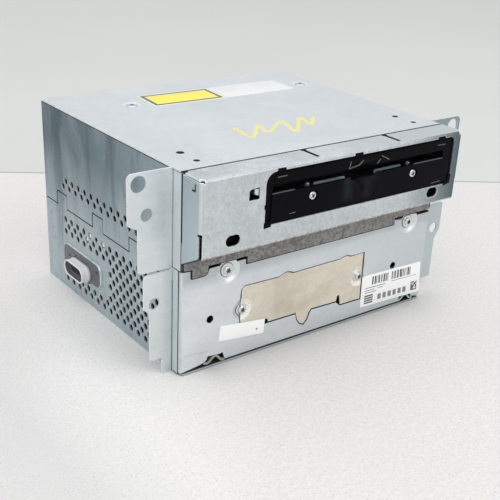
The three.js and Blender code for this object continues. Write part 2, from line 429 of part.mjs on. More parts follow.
// -- loading roller and its gears ----------------------------------------
put('roller_shaft', rod(1.5, -55, 85, 10, 'x', 0, ROLLER.y, ROLLER.z), ...BRIGHT);
put('roller_sleeve', turned([[1.8, XS - 59], [3.45, XS - 59], [3.45, XS - 50], [2.7, XS], [3.45, XS + 50], [3.45, XS + 59], [1.8, XS + 59]], 14, 'x', 0, ROLLER.y, ROLLER.z), ...RUBBER);
function gear(n, phase, bore, x0, x1, yc, zc) {
  const r = n * MODULE_ / 2, ro = r + 0.85 * MODULE_, rr = r - 1.15 * MODULE_, p = 2 * Math.PI / n, o = [];
  for (let k = 0; k < n; k++) {
    const a = phase + k * p;
    for (const [q, t] of [[rr, -0.29], [r, -0.20], [ro, -0.08], [ro, 0.08], [r, 0.20], [rr, 0.29]])
      o.push([yc + q * Math.cos(a + t * p), zc + q * Math.sin(a + t * p)]);
  }
  return prismX(o, x0, x1, bore ? [circle(yc, zc, bore, 10)] : []);
}
const toIdler = Math.atan2(IDLER.z - ROLLER.z, IDLER.y - ROLLER.y);
const idlerPhase = toIdler + Math.PI + Math.PI / IDLER.n;
const idlerStep = 2 * Math.PI / IDLER.n;
const atPinion = idlerPhase - idlerStep * Math.round(idlerPhase / idlerStep);
const pinionPhase = Math.PI - atPinion * IDLER.n / PINION.n + Math.PI / PINION.n;
put('roller_gear', gear(ROLLER.n, toIdler, 1.8, -52, -49, ROLLER.y, ROLLER.z), ...WHITE);
put('idler_gear', gear(IDLER.n, idlerPhase, 1.5, -52, -49, IDLER.y, IDLER.z), ...WHITE);
put('motor_pinion', join(gear(PINION.n, pinionPhase, 0, -52, -49, PINION.y, PINION.z),
  rod(0.9, -49.2, -47.7, 8, 'x', 0, PINION.y, PINION.z)), 0xb58a3c, 0.35, 0.9);
put('loading_motor', join(rod(6, -46.2, -27, 16, 'x', 0, PINION.y, PINION.z), rod(2, -47.4, -46, 10, 'x', 0, PINION.y, PINION.z)), ...BRIGHT);

// -- pickup sled, rod and lead screw -------------------------------------
let sled = join(box(-0.5, 88.2, 84, 29.5, 110, 93.8), rod(6, 93.7, 95.6, 16, 'z', XS, 98, 0), box(29.4, 95, 84, 40.5, 103, 90));
sled = cut(sled, rod(1.9, 80, 120, 10, 'y', ROD_X, 0, ROD_Z), rod(2.4, 80, 120, 10, 'y', SCREW_X, 0, SCREW_Z));
put('pickup_sled', sled, ...BLACK);
put('guide_rod', rod(1.5, 82.5, 147.1, 10, 'y', ROD_X, 0, ROD_Z), ...BRIGHT);
put('lead_screw', rod(2.0, 80.6, 146.1, 12, 'y', SCREW_X, 0, SCREW_Z), ...BRIGHT);
put('sled_motor', join(rod(6, 60, 78.8, 16, 'y', SCREW_X, 0, SCREW_Z), rod(2, 78.7, 80.3, 10, 'y', SCREW_X, 0, SCREW_Z)), ...BRIGHT);

// -- flat cable from the drive down to the board --------------------------
const cableLine = new THREE.CatmullRomCurve3([[112, 79.5], [128, 79.8], [140.5, 78.6], [144.2, 70], [143.6, 58], [141.5, 51], [137, 50.9], [132, 50.9]]
  .map(([y, z]) => new THREE.Vector3(0, y, z)), false, 'centripetal').getPoints(22);
const upper = [], lower = [];
cableLine.forEach((p, i) => {
  const a = cableLine[Math.max(0, i - 1)], b = cableLine[Math.min(cableLine.length - 1, i + 1)];
  const d = b.clone().sub(a).normalize();
  upper.push([p.y - d.z * 0.25, p.z + d.y * 0.25]);
  lower.push([p.y + d.z * 0.25, p.z - d.y * 0.25]);
});
put('ribbon_cable', prismX([...lower, ...upper.reverse()], -30, -10), 0xd8d4c8, 0.5, 0);

export default unit;
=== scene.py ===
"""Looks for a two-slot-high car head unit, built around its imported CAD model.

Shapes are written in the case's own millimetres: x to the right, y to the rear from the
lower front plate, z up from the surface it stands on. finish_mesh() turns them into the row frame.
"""

import math
import random

import bmesh
import bpy
import numpy as np
from mathutils import Matrix, Vector
from mathutils.geometry import delaunay_2d_cdt


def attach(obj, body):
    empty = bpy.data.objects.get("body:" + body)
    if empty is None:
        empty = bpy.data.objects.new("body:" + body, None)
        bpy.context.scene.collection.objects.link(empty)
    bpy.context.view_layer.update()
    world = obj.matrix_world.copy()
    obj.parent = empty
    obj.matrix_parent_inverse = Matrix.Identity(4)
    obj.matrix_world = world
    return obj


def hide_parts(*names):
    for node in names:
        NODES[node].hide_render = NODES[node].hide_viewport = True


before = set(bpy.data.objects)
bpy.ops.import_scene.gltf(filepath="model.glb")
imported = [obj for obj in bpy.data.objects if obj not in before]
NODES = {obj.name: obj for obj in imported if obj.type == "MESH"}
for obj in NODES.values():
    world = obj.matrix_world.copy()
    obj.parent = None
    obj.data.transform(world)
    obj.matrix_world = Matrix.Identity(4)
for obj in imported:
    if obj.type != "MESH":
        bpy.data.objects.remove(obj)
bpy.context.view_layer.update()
YC = 74.15
SCENE = bpy.context.scene
PI = math.pi

# ------------------------------------------------------------------ camera
cam = bpy.data.objects.new("camera", bpy.data.cameras.new("camera"))
SCENE.collection.objects.link(cam)
RIGHT = Vector((0.79526899, -0.60433957, 0.04817599))
DOWN = Vector((-0.22218382, -0.36446807, -0.9043215))
FORWARD = Vector((0.56407587, 0.70847492, -0.42412463))
m = Matrix.Identity(4)
for i, axis in enumerate((RIGHT, -DOWN, -FORWARD)):
    for k in range(3):
        m[k][i] = axis[k]
m.translation = Vector((-0.312483, -0.417546, 0.249327))
cam.matrix_world = m
cam.data.sensor_width = 36.0
cam.data.lens = 65.709
cam.data.shift_x, cam.data.shift_y = -0.02, 0.06
cam.data.clip_start, cam.data.clip_end = 0.01, 20.0
SCENE.camera = cam


# ------------------------------------------------------------------ outlines
def circle(cx, cy, r, n=20, phase=0.0):
    return [(cx + r * math.cos(phase + 2 * PI * i / n), cy + r * math.sin(phase + 2 * PI * i / n)) for i in range(n)]


def rounded(points, seg=5):
    """Polygon from (x, y, radius) corners."""
    out, n = [], len(points)
    for i, p in enumerate(points):
        x, y, r = p[0], p[1], (p[2] if len(p) > 2 else 0.0)
        if r <= 0:
            out.append((x, y))
            continue
        a, b = Vector(points[i - 1][:2]), Vector(points[(i + 1) % n][:2])
        c = Vector((x, y))
        u, v = (a - c).normalized(), (b - c).normalized()
        half = math.acos(max(-1.0, min(1.0, u.dot(v)))) / 2
        d = r / math.tan(half)
        p0, p1 = c + u * d, c + v * d
        mid = c + (u + v).normalized() * (r / math.sin(half))
        a0 = math.atan2(p0.y - mid.y, p0.x - mid.x)
        a1 = math.atan2(p1.y - mid.y, p1.x - mid.x)
        while a1 - a0 > PI:
            a1 -= 2 * PI
        while a1 - a0 < -PI:
            a1 += 2 * PI
        for k in range(seg + 1):
            t = a0 + (a1 - a0) * k / seg
            out.append((mid.x + r * math.cos(t), mid.y + r * math.sin(t)))
    return out


def rect(x0, y0, x1, y1, r=0.0, seg=4):
    return rounded([(x0, y0, r), (x1, y0, r), (x1, y1, r), (x0, y1, r)], seg)


def stadium(cx, cy, w, h, seg=8):
    return rect(cx - w / 2, cy - h / 2, cx + w / 2, cy + h / 2, min(w, h) / 2 - 0.01, seg)


def area2(loop):
    return sum(loop[i - 1][0] * loop[i][1] - loop[i][0] * loop[i - 1][1] for i in range(len(loop)))


def ccw(loop):
    clean = []
    for p in loop:
        if not clean or math.hypot(p[0] - clean[-1][0], p[1] - clean[-1][1]) > 1e-4:
            clean.append((float(p[0]), float(p[1])))
    if math.hypot(clean[0][0] - clean[-1][0], clean[0][1] - clean[-1][1]) < 1e-4:
        clean.pop()
    return clean if area2(clean) > 0 else clean[::-1]


def offset(loop, d):
    """Moves every edge of a counter-clockwise loop outwards by d."""
    out, n = [], len(loop)
    for i in range(n):
        a, b, c = loop[i - 1], loop[i], loop[(i + 1) % n]
        e1, e2 = (b[0] - a[0], b[1] - a[1]), (c[0] - b[0], c[1] - b[1])
        l1, l2 = math.hypot(*e1), math.hypot(*e2)
        n1, n2 = (e1[1] / l1, -e1[0] / l1), (e2[1] / l2, -e2[0] / l2)
        k = max(0.25, 1 + n1[0] * n2[0] + n1[1] * n2[1])
        out.append((b[0] + d * (n1[0] + n2[0]) / k, b[1] + d * (n1[1] + n2[1]) / k))
    return out


def inside(points, loops):
    """Even-odd test of points against closed loops."""
    p = np.asarray(points, float).reshape(-1, 2)
    odd = np.zeros(len(p), bool)
    for loop in loops:
        q = np.asarray(loop, float)
        for a, b in zip(q, np.roll(q, -1, 0)):
            if a[1] == b[1]:
                continue
            cross = (a[1] > p[:, 1]) != (b[1] > p[:, 1])
            x = a[0] + (p[:, 1] - a[1]) / (b[1] - a[1]) * (b[0] - a[0])
            odd ^= cross & (p[:, 0] < x)
    return odd


def near(points, loops, d):
    """Which points lie closer than d to a loop."""
    p = np.asarray(points, float).reshape(-1, 2)
    hit = np.zeros(len(p), bool)
    for loop in loops:
        q = np.asarray(loop, float)
        for a, b in zip(q, np.roll(q, -1, 0)):
            e = b - a
            t = np.clip(((p - a) @ e) / max(e @ e, 1e-12), 0, 1)
            hit |= np.linalg.norm(p - (a + t[:, None] * e), axis=1) < d
    return hit


def smooth(t):
    t = max(0.0, min(1.0, t))
    return t * t * (3 - 2 * t)


# ------------------------------------------------------------------ meshes
# marks on a sheet's faces until its materials are given: its outline's cut edge, its holes' cut edges, and its back
RIM, BORE, BACK = 9, 8, 7


def sheet(outer, holes=(), t=1.0, c0=0.16, c1=0.12, pts=(), form=None, cuts_u=(), cuts_v=()):
    """A closed sheet over the outline, as a bmesh in (u, v, w): its face is at w = 0 and its back at w = t.
    c0 and c1 are how far the edges of face and back are rounded. form(u, v) presses it along w."""
    outer = ccw(outer)
    holes = [ccw(h) for h in holes]
    bm = bmesh.new()

    def cap_loops(c):
        return [offset(outer, -c)] + [offset(h, c) for h in holes]

    def rings(c, w_edge, sign):
        """The rounded rim's rings, from the cap inwards to the edge."""
        out = []
        for a in (0.0, 0.35, 1.0):
            off = c * (1 - math.sin(a * PI / 2))
            w = w_edge + sign * c * (1 - math.cos(a * PI / 2)) if a else w_edge
            out.append((off, w))
        return out

    front, back = rings(c0, 0.0, 1), rings(c1, t, -1)
    loops_at = lambda off: [offset(outer, -off) if off else outer] + [offset(h, off) if off else h for h in holes]
    stack = [(loops_at(o), w) for o, w in front] + [(loops_at(o), w) for o, w in reversed(back)]

    def rib(vec, w):
        q = bm.verts.new((vec[0], vec[1], w + (form(vec[0], vec[1]) if form else 0.0)))
        return q

    layers = [[[rib(p, w) for p in loop] for loop in loops] for loops, w in stack]
    for a, b in zip(layers, layers[1:]):
        for hole, (la, lb) in enumerate(zip(a, b)):
            n = len(la)
            for i in range(n):
                j = (i + 1) % n
                bm.faces.new((la[i], la[j], lb[j], lb[i])).material_index = BORE if hole else RIM

    extra = [p for p in pts]
    for c, w, layer, mark in ((c0, 0.0, layers[0], 0), (c1, t, layers[-1], BACK)):
        loops = cap_loops(c)
        coords, edges, owner = [], [], []
        for loop, verts in zip(loops, layer):
            base, n = len(coords), len(loop)
            coords += [Vector(p) for p in loop]
            owner += verts
            edges += [(base + i, base + (i + 1) % n) for i in range(n)]
        if extra:
            ok = inside(extra, loops) & ~near(extra, loops, 0.22)
            for p, good in zip(extra, ok):
                if good:
                    coords.append(Vector(p))
                    owner.append(None)
        vs, _, fs, ov, _, _ = delaunay_2d_cdt(coords, edges, [], 0, 1e-6)
        made = []
        for v, src in zip(vs, ov):
            have = next((owner[i] for i in src if owner[i] is not None), None) if src else None
            made.append(have if have is not None else rib((v.x, v.y), w))
        flat = np.array([(v.x, v.y) for v in vs])
        mids = np.array([flat[list(f)].mean(0) for f in fs])
        keep = inside(mids, loops)
        for f, good in zip(fs, keep):
            if good and len({made[i] for i in f}) == 3:
                try:
                    bm.faces.new([made[i] for i in f]).material_index = mark
                except ValueError:
                    pass
    loose = [v for v in bm.verts if not v.link_faces]
    if loose:
        bmesh.ops.delete(bm, geom=loose, context="VERTS")
    for cuts, normal in ((cuts_u, (1, 0, 0)), (cuts_v, (0, 1, 0))):
        for at in cuts:
            co = Vector(normal) * at
            bmesh.ops.bisect_plane(bm, geom=bm.verts[:] + bm.edges[:] + bm.faces[:], dist=1e-4, plane_co=co, plane_no=Vector(normal))
    return bm


def place(bm, fn):
    for v in bm.verts:
        v.co = Vector(fn(*v.co))
    return bm


class Path:
    """A folded section: the line that the sheet's face follows, and the way to its back."""

    def __init__(self, start, heading, steps, turn_to=1):
        # steps are (length, turn in radians); turn_to is +1 where a positive turn bends towards the back
        self.seg, p, a, s = [], Vector(start), heading, 0.0
        for length, turn in steps:
            self.seg.append((s, length, p.copy(), a, turn))
            if turn:
                r = length / turn
                centre = p + Vector((-math.sin(a), math.cos(a))) * r
                p = centre + Vector((math.sin(a + turn), -math.cos(a + turn))) * r
                a += turn
            else:
                p = p + Vector((math.cos(a), math.sin(a))) * length
            s += length
        self.length, self.side = s, turn_to

    def at(self, s, w):
        seg = self.seg[0]
        for q in self.seg:
            if s >= q[0] - 1e-9:
                seg = q
        s0, length, p, a, turn = seg
        d = s - s0
        if turn:
            r = length / turn
            centre = p + Vector((-math.sin(a), math.cos(a))) * r
            b = a + d / r
            p = centre + Vector((math.sin(b), -math.cos(b))) * r
            a = b
        else:
            p = p + Vector((math.cos(a), math.sin(a))) * d
        n = Vector((-math.sin(a), math.cos(a))) * self.side
        return p + n * w

    def stations(self, n=5):
        out = []
        for s0, length, _, _, turn in self.seg:
            if turn:
                out += [s0 + length * k / n for k in range(n + 1)]
        return out


def finish_mesh(bm, name, body, replaces=(), materials=(), sharp=32.0, edge=None, bore=None, back=None):
    """Turns a bmesh in case millimetres into a piece in the row frame. edge, bore and back are the materials of a
    sheet's cut edge, of its holes' edges (edge's where there is none) and of its back. They come after the others."""
    bmesh.ops.remove_doubles(bm, verts=bm.verts[:], dist=1e-4)
    bmesh.ops.recalc_face_normals(bm, faces=bm.faces[:])
    for v in bm.verts:
        v.co = Vector((v.co.x * 0.001, (v.co.y - YC) * 0.001, v.co.z * 0.001))
    me = bpy.data.meshes.new(name)
    bm.to_mesh(me)
    bm.free()
    for p in me.polygons:
        p.use_smooth = True
    me.set_sharp_from_angle(angle=math.radians(sharp))
    o = bpy.data.objects.new(name, me)
    SCENE.collection.objects.link(o)
    mats, where = list(materials), {}
    for mark, mat in ((RIM, edge), (BORE, bore), (BACK, back)):
        if mat:
            where[mark] = len(mats)
            mats.append(mat)
    if RIM in where:
        where.setdefault(BORE, where[RIM])
    marks = [where.get(p.material_index, 0) for p in me.polygons]
    for mat in mats:
        me.materials.append(mat)
    for p, mark in zip(me.polygons, marks):
        p.material_index = mark
    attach(o, body)
    if replaces:
        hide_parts(*replaces)
    return o


def weighted(o):
    w = o.modifiers.new("weighted", "WEIGHTED_NORMAL")
    w.mode, w.weight, w.keep_sharp = "FACE_AREA", 60, True
    return o


def merge(*bms):
    """Joins bmeshes that don't touch, or that were united already."""
    out = bms[0]
    for b in bms[1:]:
        me = bpy.data.meshes.new("part")
        b.to_mesh(me)
        b.free()
        out.from_mesh(me)
        bpy.data.meshes.remove(me)
    return out


def temp(bm, name="t"):
    bmesh.ops.recalc_face_normals(bm, faces=bm.faces[:])
    me = bpy.data.meshes.new(name)
    bm.to_mesh(me)
    bm.free()
    o = bpy.data.objects.new(name, me)
    SCENE.collection.objects.link(o)
    return o


def boolean(base, others, op="DIFFERENCE"):
    """base with others cut away or joined on, as a bmesh. All are bmeshes of closed solids in millimetres."""
    a = temp(base)
    tools = [temp(b) for b in others]
    for b in tools:
        mod = a.modifiers.new("b", "BOOLEAN")
        mod.operation, mod.object = op, b
        mod.solver = "MANIFOLD"
    dg = bpy.context.evaluated_depsgraph_get()
    dg.update()
    me = bpy.data.meshes.new_from_object(a.evaluated_get(dg))
    bm = bmesh.new()
    bm.from_mesh(me)
    for o in [a] + tools:
        old = o.data
        bpy.data.objects.remove(o)
        bpy.data.meshes.remove(old)
    bpy.data.meshes.remove(me)
    return bm


def soften(bm, width, angle=30.0, segments=2):
    """Rounds the sharp edges of a solid."""
    bmesh.ops.remove_doubles(bm, verts=bm.verts[:], dist=1e-4)
    bmesh.ops.dissolve_limit(bm, angle_limit=math.radians(1.0), verts=bm.verts[:], edges=bm.edges[:])
    edges = [e for e in bm.edges if len(e.link_faces) == 2 and e.calc_face_angle(0) > math.radians(angle)]
    bmesh.ops.bevel(bm, geom=edges, offset=width, offset_type="OFFSET", segments=segments, profile=0.5,
                    affect="EDGES", clamp_overlap=True)
    return bm


def block(x0, y0, z0, x1, y1, z1, r=0.0, seg=2):
    bm = bmesh.new()
    bmesh.ops.create_cube(bm, size=1.0)
    for v in bm.verts:
        v.co = Vector((x0 + (v.co.x + 0.5) * (x1 - x0), y0 + (v.co.y + 0.5) * (y1 - y0), z0 + (v.co.z + 0.5) * (z1 - z0)))
    if r:
        bmesh.ops.bevel(bm, geom=bm.edges[:], offset=r, segments=seg, profile=0.5, affect="EDGES", clamp_overlap=True)
    return bm


def turned(profile, seg, axis, x, y, z):
    """[(radius, along), ...] turned about an axis through (x, y, z). Radius 0 is a point on the axis."""
    bm = bmesh.new()
    rings = []
    closed = profile[0][0] > 0
    for r, a in profile:
        if r <= 0:
            rings.append([bm.verts.new((0, 0, a))])
        else:
            rings.append([bm.verts.new((r * math.cos(2 * PI * i / seg), r * math.sin(2 * PI * i / seg), a)) for i in range(seg)])
    pairs = list(zip(rings, rings[1:])) + ([(rings[-1], rings[0])] if closed else [])
    for p, q in pairs:
        for i in range(seg):
            j = (i + 1) % seg
            if len(p) == 1 and len(q) == 1:
                continue
            if len(p) == 1:
                bm.faces.new((p[0], q[i], q[j]))
            elif len(q) == 1:
                bm.faces.new((p[i], q[0], p[j]))
            else:
                bm.faces.new((p[i], q[i], q[j], p[j]))
    turn = {"z": lambda v: (v.x, v.y, v.z), "y": lambda v: (v.x, v.z, -v.y), "x": lambda v: (v.z, v.y, -v.x)}[axis]
    for v in bm.verts:
        q = turn(v.co)
        v.co = Vector((q[0] + x, q[1] + y, q[2] + z))
    return bm


def prism(outline, a0, a1, plane, c=0.0, holes=(), c0=None, c1=None):
    """An outline pushed through from a0 to a1. plane xy goes up z, xz goes back along y, yz goes along x."""
    c0 = c if c0 is None else c0
    c1 = c if c1 is None else c1
    bm = sheet(outline, holes, a1 - a0, max(c0, 1e-3), max(c1, 1e-3))
    if plane == "xy":
        return place(bm, lambda u, v, w: (u, v, a0 + w))
    if plane == "xz":
        return place(bm, lambda u, v, w: (u, a0 + w, v))
    return place(bm, lambda u, v, w: (a0 + w, u, v))


def ring_points(cx, cy, radii, n=28):
    return [p for k, r in enumerate(radii) for p in circle(cx, cy, r, n, phase=(k % 2) * PI / n)]


# ------------------------------------------------------------------ materials
class Nodes:
    def __init__(self, name):
        self.mat = bpy.data.materials.new(name)
        self.mat.use_nodes = True
        self.t = self.mat.node_tree
        self.t.nodes.clear()
        self.out = self.n("ShaderNodeOutputMaterial")
        self.b = self.n("ShaderNodeBsdfPrincipled")
        self.link(self.b.outputs[0], self.out.inputs[0])
        self.co = self.n("ShaderNodeTexCoord").outputs["Object"]

    def n(self, kind, **sets):
        node = self.t.nodes.new(kind)
        for k, v in sets.items():
            setattr(node, k, v)
        return node

    def link(self, a, b):
        self.t.links.new(a, b)

    def put(self, socket, value):
        if hasattr(value, "is_linked") or isinstance(value, bpy.types.NodeSocket):
            self.link(value, socket)
        else:
            socket.default_value = value

    def scaled(self, scale=(1, 1, 1), rot=(0, 0, 0), loc=(0, 0, 0)):
        mp = self.n("ShaderNodeMapping")
        self.link(self.co, mp.inputs["Vector"])
        mp.inputs["Scale"].default_value = scale
        mp.inputs["Rotation"].default_value = rot
        mp.inputs["Location"].default_value = loc
        return mp.outputs[0]

    def noise(self, scale, detail=3.0, rough=0.55, vec=None, distort=0.0):
        q = self.n("ShaderNodeTexNoise")
        self.link(vec or self.co, q.inputs["Vector"])
        q.inputs["Scale"].default_value = scale
        q.inputs["Detail"].default_value = detail
        q.inputs["Roughness"].default_value = rough
        q.inputs["Distortion"].default_value = distort
        return q.outputs["Fac"]

    def voronoi(self, scale, out="Color", vec=None, feature="F1"):
        q = self.n("ShaderNodeTexVoronoi", feature=feature)
        self.link(vec or self.co, q.inputs["Vector"])
        q.inputs["Scale"].default_value = scale
        return q.outputs[out]

    def ramp(self, value, stops, interp="LINEAR"):
        q = self.n("ShaderNodeValToRGB")
        q.color_ramp.interpolation = interp
        els = q.color_ramp.elements
        while len(els) < len(stops):
            els.new(0.5)
        for e, (pos, col) in zip(els, stops):
            e.position = pos
            e.color = (*col, 1.0) if len(col) == 3 else col
        self.link(value, q.inputs[0])
        return q.outputs[0]

    def math(self, op, a, b=0.0, c=None, clamp=False):
        q = self.n("ShaderNodeMath", operation=op, use_clamp=clamp)
        self.put(q.inputs[0], a)
        self.put(q.inputs[1], b)
        if c is not None:
            self.put(q.inputs[2], c)
        return q.outputs[0]

    def span(self, value, lo, hi, to_lo=0.0, to_hi=1.0):
        q = self.n("ShaderNodeMapRange")
        q.clamp = True
        self.link(value, q.inputs[0])
        for i, v in zip((1, 2, 3, 4), (lo, hi, to_lo, to_hi)):
            q.inputs[i].default_value = v
        return q.outputs[0]

    def mix(self, fac, a, b, blend="MIX"):
        q = self.n("ShaderNodeMix", data_type="RGBA", blend_type=blend)
        self.put(q.inputs[0], fac)
        for s, v in ((q.inputs[6], a), (q.inputs[7], b)):
            if isinstance(v, (tuple, list)):
                s.default_value = (*v, 1.0) if len(v) == 3 else v
            else:
                self.link(v, s)
        return q.outputs[2]

    def xyz(self, vec=None):
        q = self.n("ShaderNodeSeparateXYZ")
        self.link(vec or self.co, q.inputs[0])
        return q.outputs

    def bump(self, height, strength, distance, normal=None):
        q = self.n("ShaderNodeBump")
        q.inputs["Strength"].default_value = strength
        q.inputs["Distance"].default_value = distance
        self.link(height, q.inputs["Height"])
        if normal is not None:
            self.link(normal, q.inputs["Normal"])
        return q.outputs[0]

    def finish(self, color=None, rough=None, metallic=0.0, normal=None, **direct):
        if color is not None:
            self.put(self.b.inputs["Base Color"], (*color, 1.0) if isinstance(color, tuple) and len(color) == 3 else color)
        if rough is not None:
            self.put(self.b.inputs["Roughness"], rough)
        self.b.inputs["Metallic"].default_value = metallic
        if normal is not None:
            self.link(normal, self.b.inputs["Normal"])
        for k, v in direct.items():
            self.b.inputs[k].default_value = v
        return self.mat


def tone(c, k):
    return tuple(x * k for x in c)


def galvanised(name, base, rough=0.36, metallic=0.85, patch=0.10, spangle=0.06, grain=0.05, streak=(1, 1, 1), painted_shade=None,
               painted_shade_amount=0.0, painted_shade_to=None, bumpy=1.0, smudge=0.0, fine_scale=1700.0, stain=None):
    """Zinc-coated sheet: slow clouding, a fine spangle, and a rolled grain. painted_shade(k, x, y, z) picks a region
    where shade is painted into its colour.
    """
    k = Nodes(name)
    slow = k.noise(16.0, 3.0, 0.6, k.scaled(streak), 0.4)
    cell = k.voronoi(420.0, "Color", k.scaled((1, 1, 1)))
    cell_v = k.n("ShaderNodeRGBToBW")
    k.link(cell, cell_v.inputs[0])
    fine = k.noise(fine_scale, 2.0, 0.6)
    mid = k.noise(170.0, 4.0, 0.65, k.scaled(streak))
    v = k.math("ADD", k.span(slow, 0.3, 0.7, -patch, patch), k.span(cell_v.outputs[0], 0.0, 1.0, -spangle, spangle))
    v = k.math("ADD", v, k.span(fine, 0.3, 0.7, -grain, grain))
    v = k.math("ADD", v, k.span(mid, 0.3, 0.7, -patch * 0.45, patch * 0.45))
    lo, hi = tone(base, 1 - 0.35), tone(base, 1 + 0.35)
    col = k.mix(k.math("ADD", k.math("MULTIPLY", v, 1.4), 0.5, clamp=True), lo, hi)
    if stain is not None:
        blot = k.noise(23.0, 5.0, 0.62, k.scaled((1, 1, 1), (0.3, 0.7, 0.2)), 0.8)
        col = k.mix(k.span(blot, 0.46, 0.66, 0.0, stain[0]), col, stain[1])
    if smudge:
        spots = k.noise(34.0, 5.0, 0.7, None, 1.2)
        col = k.mix(k.math("MULTIPLY", k.span(spots, 0.58, 0.72), smudge), col, tone(base, 0.62))
    # painted shade: the region's colour is pulled towards a darker tone
    if painted_shade is not None:
        x, y, z = k.xyz()[:3]
        col = k.mix(k.math("MULTIPLY", painted_shade(k, x, y, z), painted_shade_amount, clamp=True), col, painted_shade_to or tone(base, 0.4))
    r = k.math("ADD", k.span(mid, 0.3, 0.7, rough - 0.06, rough + 0.08), k.span(cell_v.outputs[0], 0.0, 1.0, -0.03, 0.03))
    h = k.math("ADD", k.math("MULTIPLY", fine, 0.5), k.math("MULTIPLY", mid, 0.8))
    nrm = k.bump(h, 0.22 * bumpy, 0.00003)
    nrm = k.bump(k.noise(9.0, 2.0, 0.5), 0.25, 0.0006, nrm)
    return k.finish(col, r, metallic, nrm)


def side_wall(name):
    """The long walls: painted shade, dark blue-grey towards the top rear and paler below, with run marks and dirt."""
    k = Nodes(name)
    x, y, z = k.xyz()[:3]
    # painted shade: the walls are painted far darker than the other sheets, darkest at the top rear
    painted_side_shade = k.math("MULTIPLY", k.span(z, 0.046, 0.092), k.span(y, -0.115, 0.055))
    col = k.mix(k.math("MULTIPLY", painted_side_shade, 0.97), (0.425, 0.508, 0.536), (0.030, 0.082, 0.114))
    runs = k.noise(62.0, 4.0, 0.6, k.scaled((1, 1, 0.17)), 0.6)
    col = k.mix(k.math("MULTIPLY", k.span(runs, 0.50, 0.66), k.span(z, 0.02, 0.10, 0.30, 0.70)), col, (0.068, 0.105, 0.13))
    pale = k.noise(34.0, 4.0, 0.62, k.scaled((1, 1, 0.30), (0, 0, 0), (0.4, 0.1, 0.3)), 0.8)
    col = k.mix(k.span(pale, 0.52, 0.72, 0.0, 0.36), col, (0.56, 0.63, 0.65))
    grime = k.noise(150.0, 5.0, 0.72)
    col = k.mix(k.span(grime, 0.56, 0.70, 0.0, 0.42), col, (0.11, 0.14, 0.155))
    fine = k.noise(1100.0, 2.0, 0.6)
    col = k.mix(k.span(fine, 0.35, 0.65, 0.0, 0.10), col, (0.62, 0.68, 0.70))
    nrm = k.bump(k.math("ADD", fine, k.noise(170.0, 4.0, 0.65)), 0.22, 0.00003)
    nrm = k.bump(k.noise(9.0, 2.0, 0.5), 0.25, 0.0006, nrm)
    return k.finish(col, k.span(pale, 0.3, 0.7, 0.44, 0.34), 0.65, nrm)


def plastic(name, base, rough=0.5, grain=900.0, bump=0.15, spread=0.12, spec=0.5, coat=0.0):
    k = Nodes(name)
    fine = k.noise(grain, 2.0, 0.6)
    slow = k.noise(30.0, 3.0, 0.6)
    col = k.mix(k.math("ADD", k.math("MULTIPLY", fine, 0.5), k.math("MULTIPLY", slow, 0.5)), tone(base, 1 - spread), tone(base, 1 + spread))
    r = k.math("ADD", k.span(slow, 0.3, 0.7, rough - 0.06, rough + 0.06), k.span(fine, 0.3, 0.7, -0.03, 0.03))
    return k.finish(col, r, 0.0, k.bump(fine, bump, 0.00004), **{"Specular IOR Level": spec, "Coat Weight": coat})


def machined(name, base, rough=0.28, along=(1, 60, 1), metallic=1.0, spread=0.10, bump=0.1):
    """Metal with drawn or turned lines."""
    k = Nodes(name)
    lines = k.noise(220.0, 3.0, 0.6, k.scaled(along))
    slow = k.noise(40.0, 3.0, 0.6)
    v = k.math("ADD", k.math("MULTIPLY", lines, 0.6), k.math("MULTIPLY", slow, 0.4))
    col = k.mix(v, tone(base, 1 - spread), tone(base, 1 + spread))
    return k.finish(col, k.span(v, 0.3, 0.7, rough - 0.07, rough + 0.09), metallic, k.bump(lines, bump, 0.00002))


TOP = galvanised("galvanised_top", (0.69, 0.715, 0.725), 0.42, 0.55, 0.06, 0.02, 0.015, (1, 1, 1), smudge=0.16)
SIDE_SHADED = side_wall("galvanised_side")
# painted shade: the ears on the right-hand side are painted darker, the upper one fully, the lower one about half
EAR = galvanised("ear_sheet", (0.70, 0.74, 0.755), 0.38, 0.60, 0.07, 0.03, 0.02, (0.6, 0.6, 1.6), smudge=0.16,
                 painted_shade=lambda k, x, y, z: k.math("MULTIPLY", k.span(x, 0.080, 0.090), k.span(z, 0.056, 0.062, 0.46, 1.0)), painted_shade_amount=1.0,
                 painted_shade_to=(0.27, 0.335, 0.35))
POST = galvanised("post_sheet", (0.74, 0.79, 0.805), 0.36, 0.45, 0.08, 0.03, 0.02, (1, 1, 0.4), smudge=0.30)
# painted shade: the sheets' inner faces painted near black, so the case's inside and its vents look dark
INSIDE_SHADE = galvanised("case_inside_shade", (0.115, 0.124, 0.13), 0.42, 0.6, 0.08, 0.04, 0.03)
# painted shade: near black, for holes' edges, rims in the gaps around parts and the pan's underside
HOLE_SHADE = galvanised("hole_edge_shade", (0.085, 0.095, 0.105), 0.42, 0.5, 0.10, 0.04, 0.04)
# lighter than the bezel's face, so on the bezel's rounded front corners it is a painted highlight
BEND = galvanised("bent_corner", (0.64, 0.675, 0.69), 0.34, 0.60, 0.10, 0.04, 0.04)
# painted shade: dark for the dish bottoms under the screws' washers and the screws' drive recesses
RECESS_SHADE = galvanised("recess_painted_shade", (0.20, 0.215, 0.225), 0.5, 0.4, 0.14, 0.10, 0.10)
# painted shade: near black, for cut edges and faces in the gaps and seams between parts
GAP_SHADE = galvanised("seam_edge_shade", (0.055, 0.062, 0.07), 0.5, 0.4, 0.12, 0.04, 0.04)
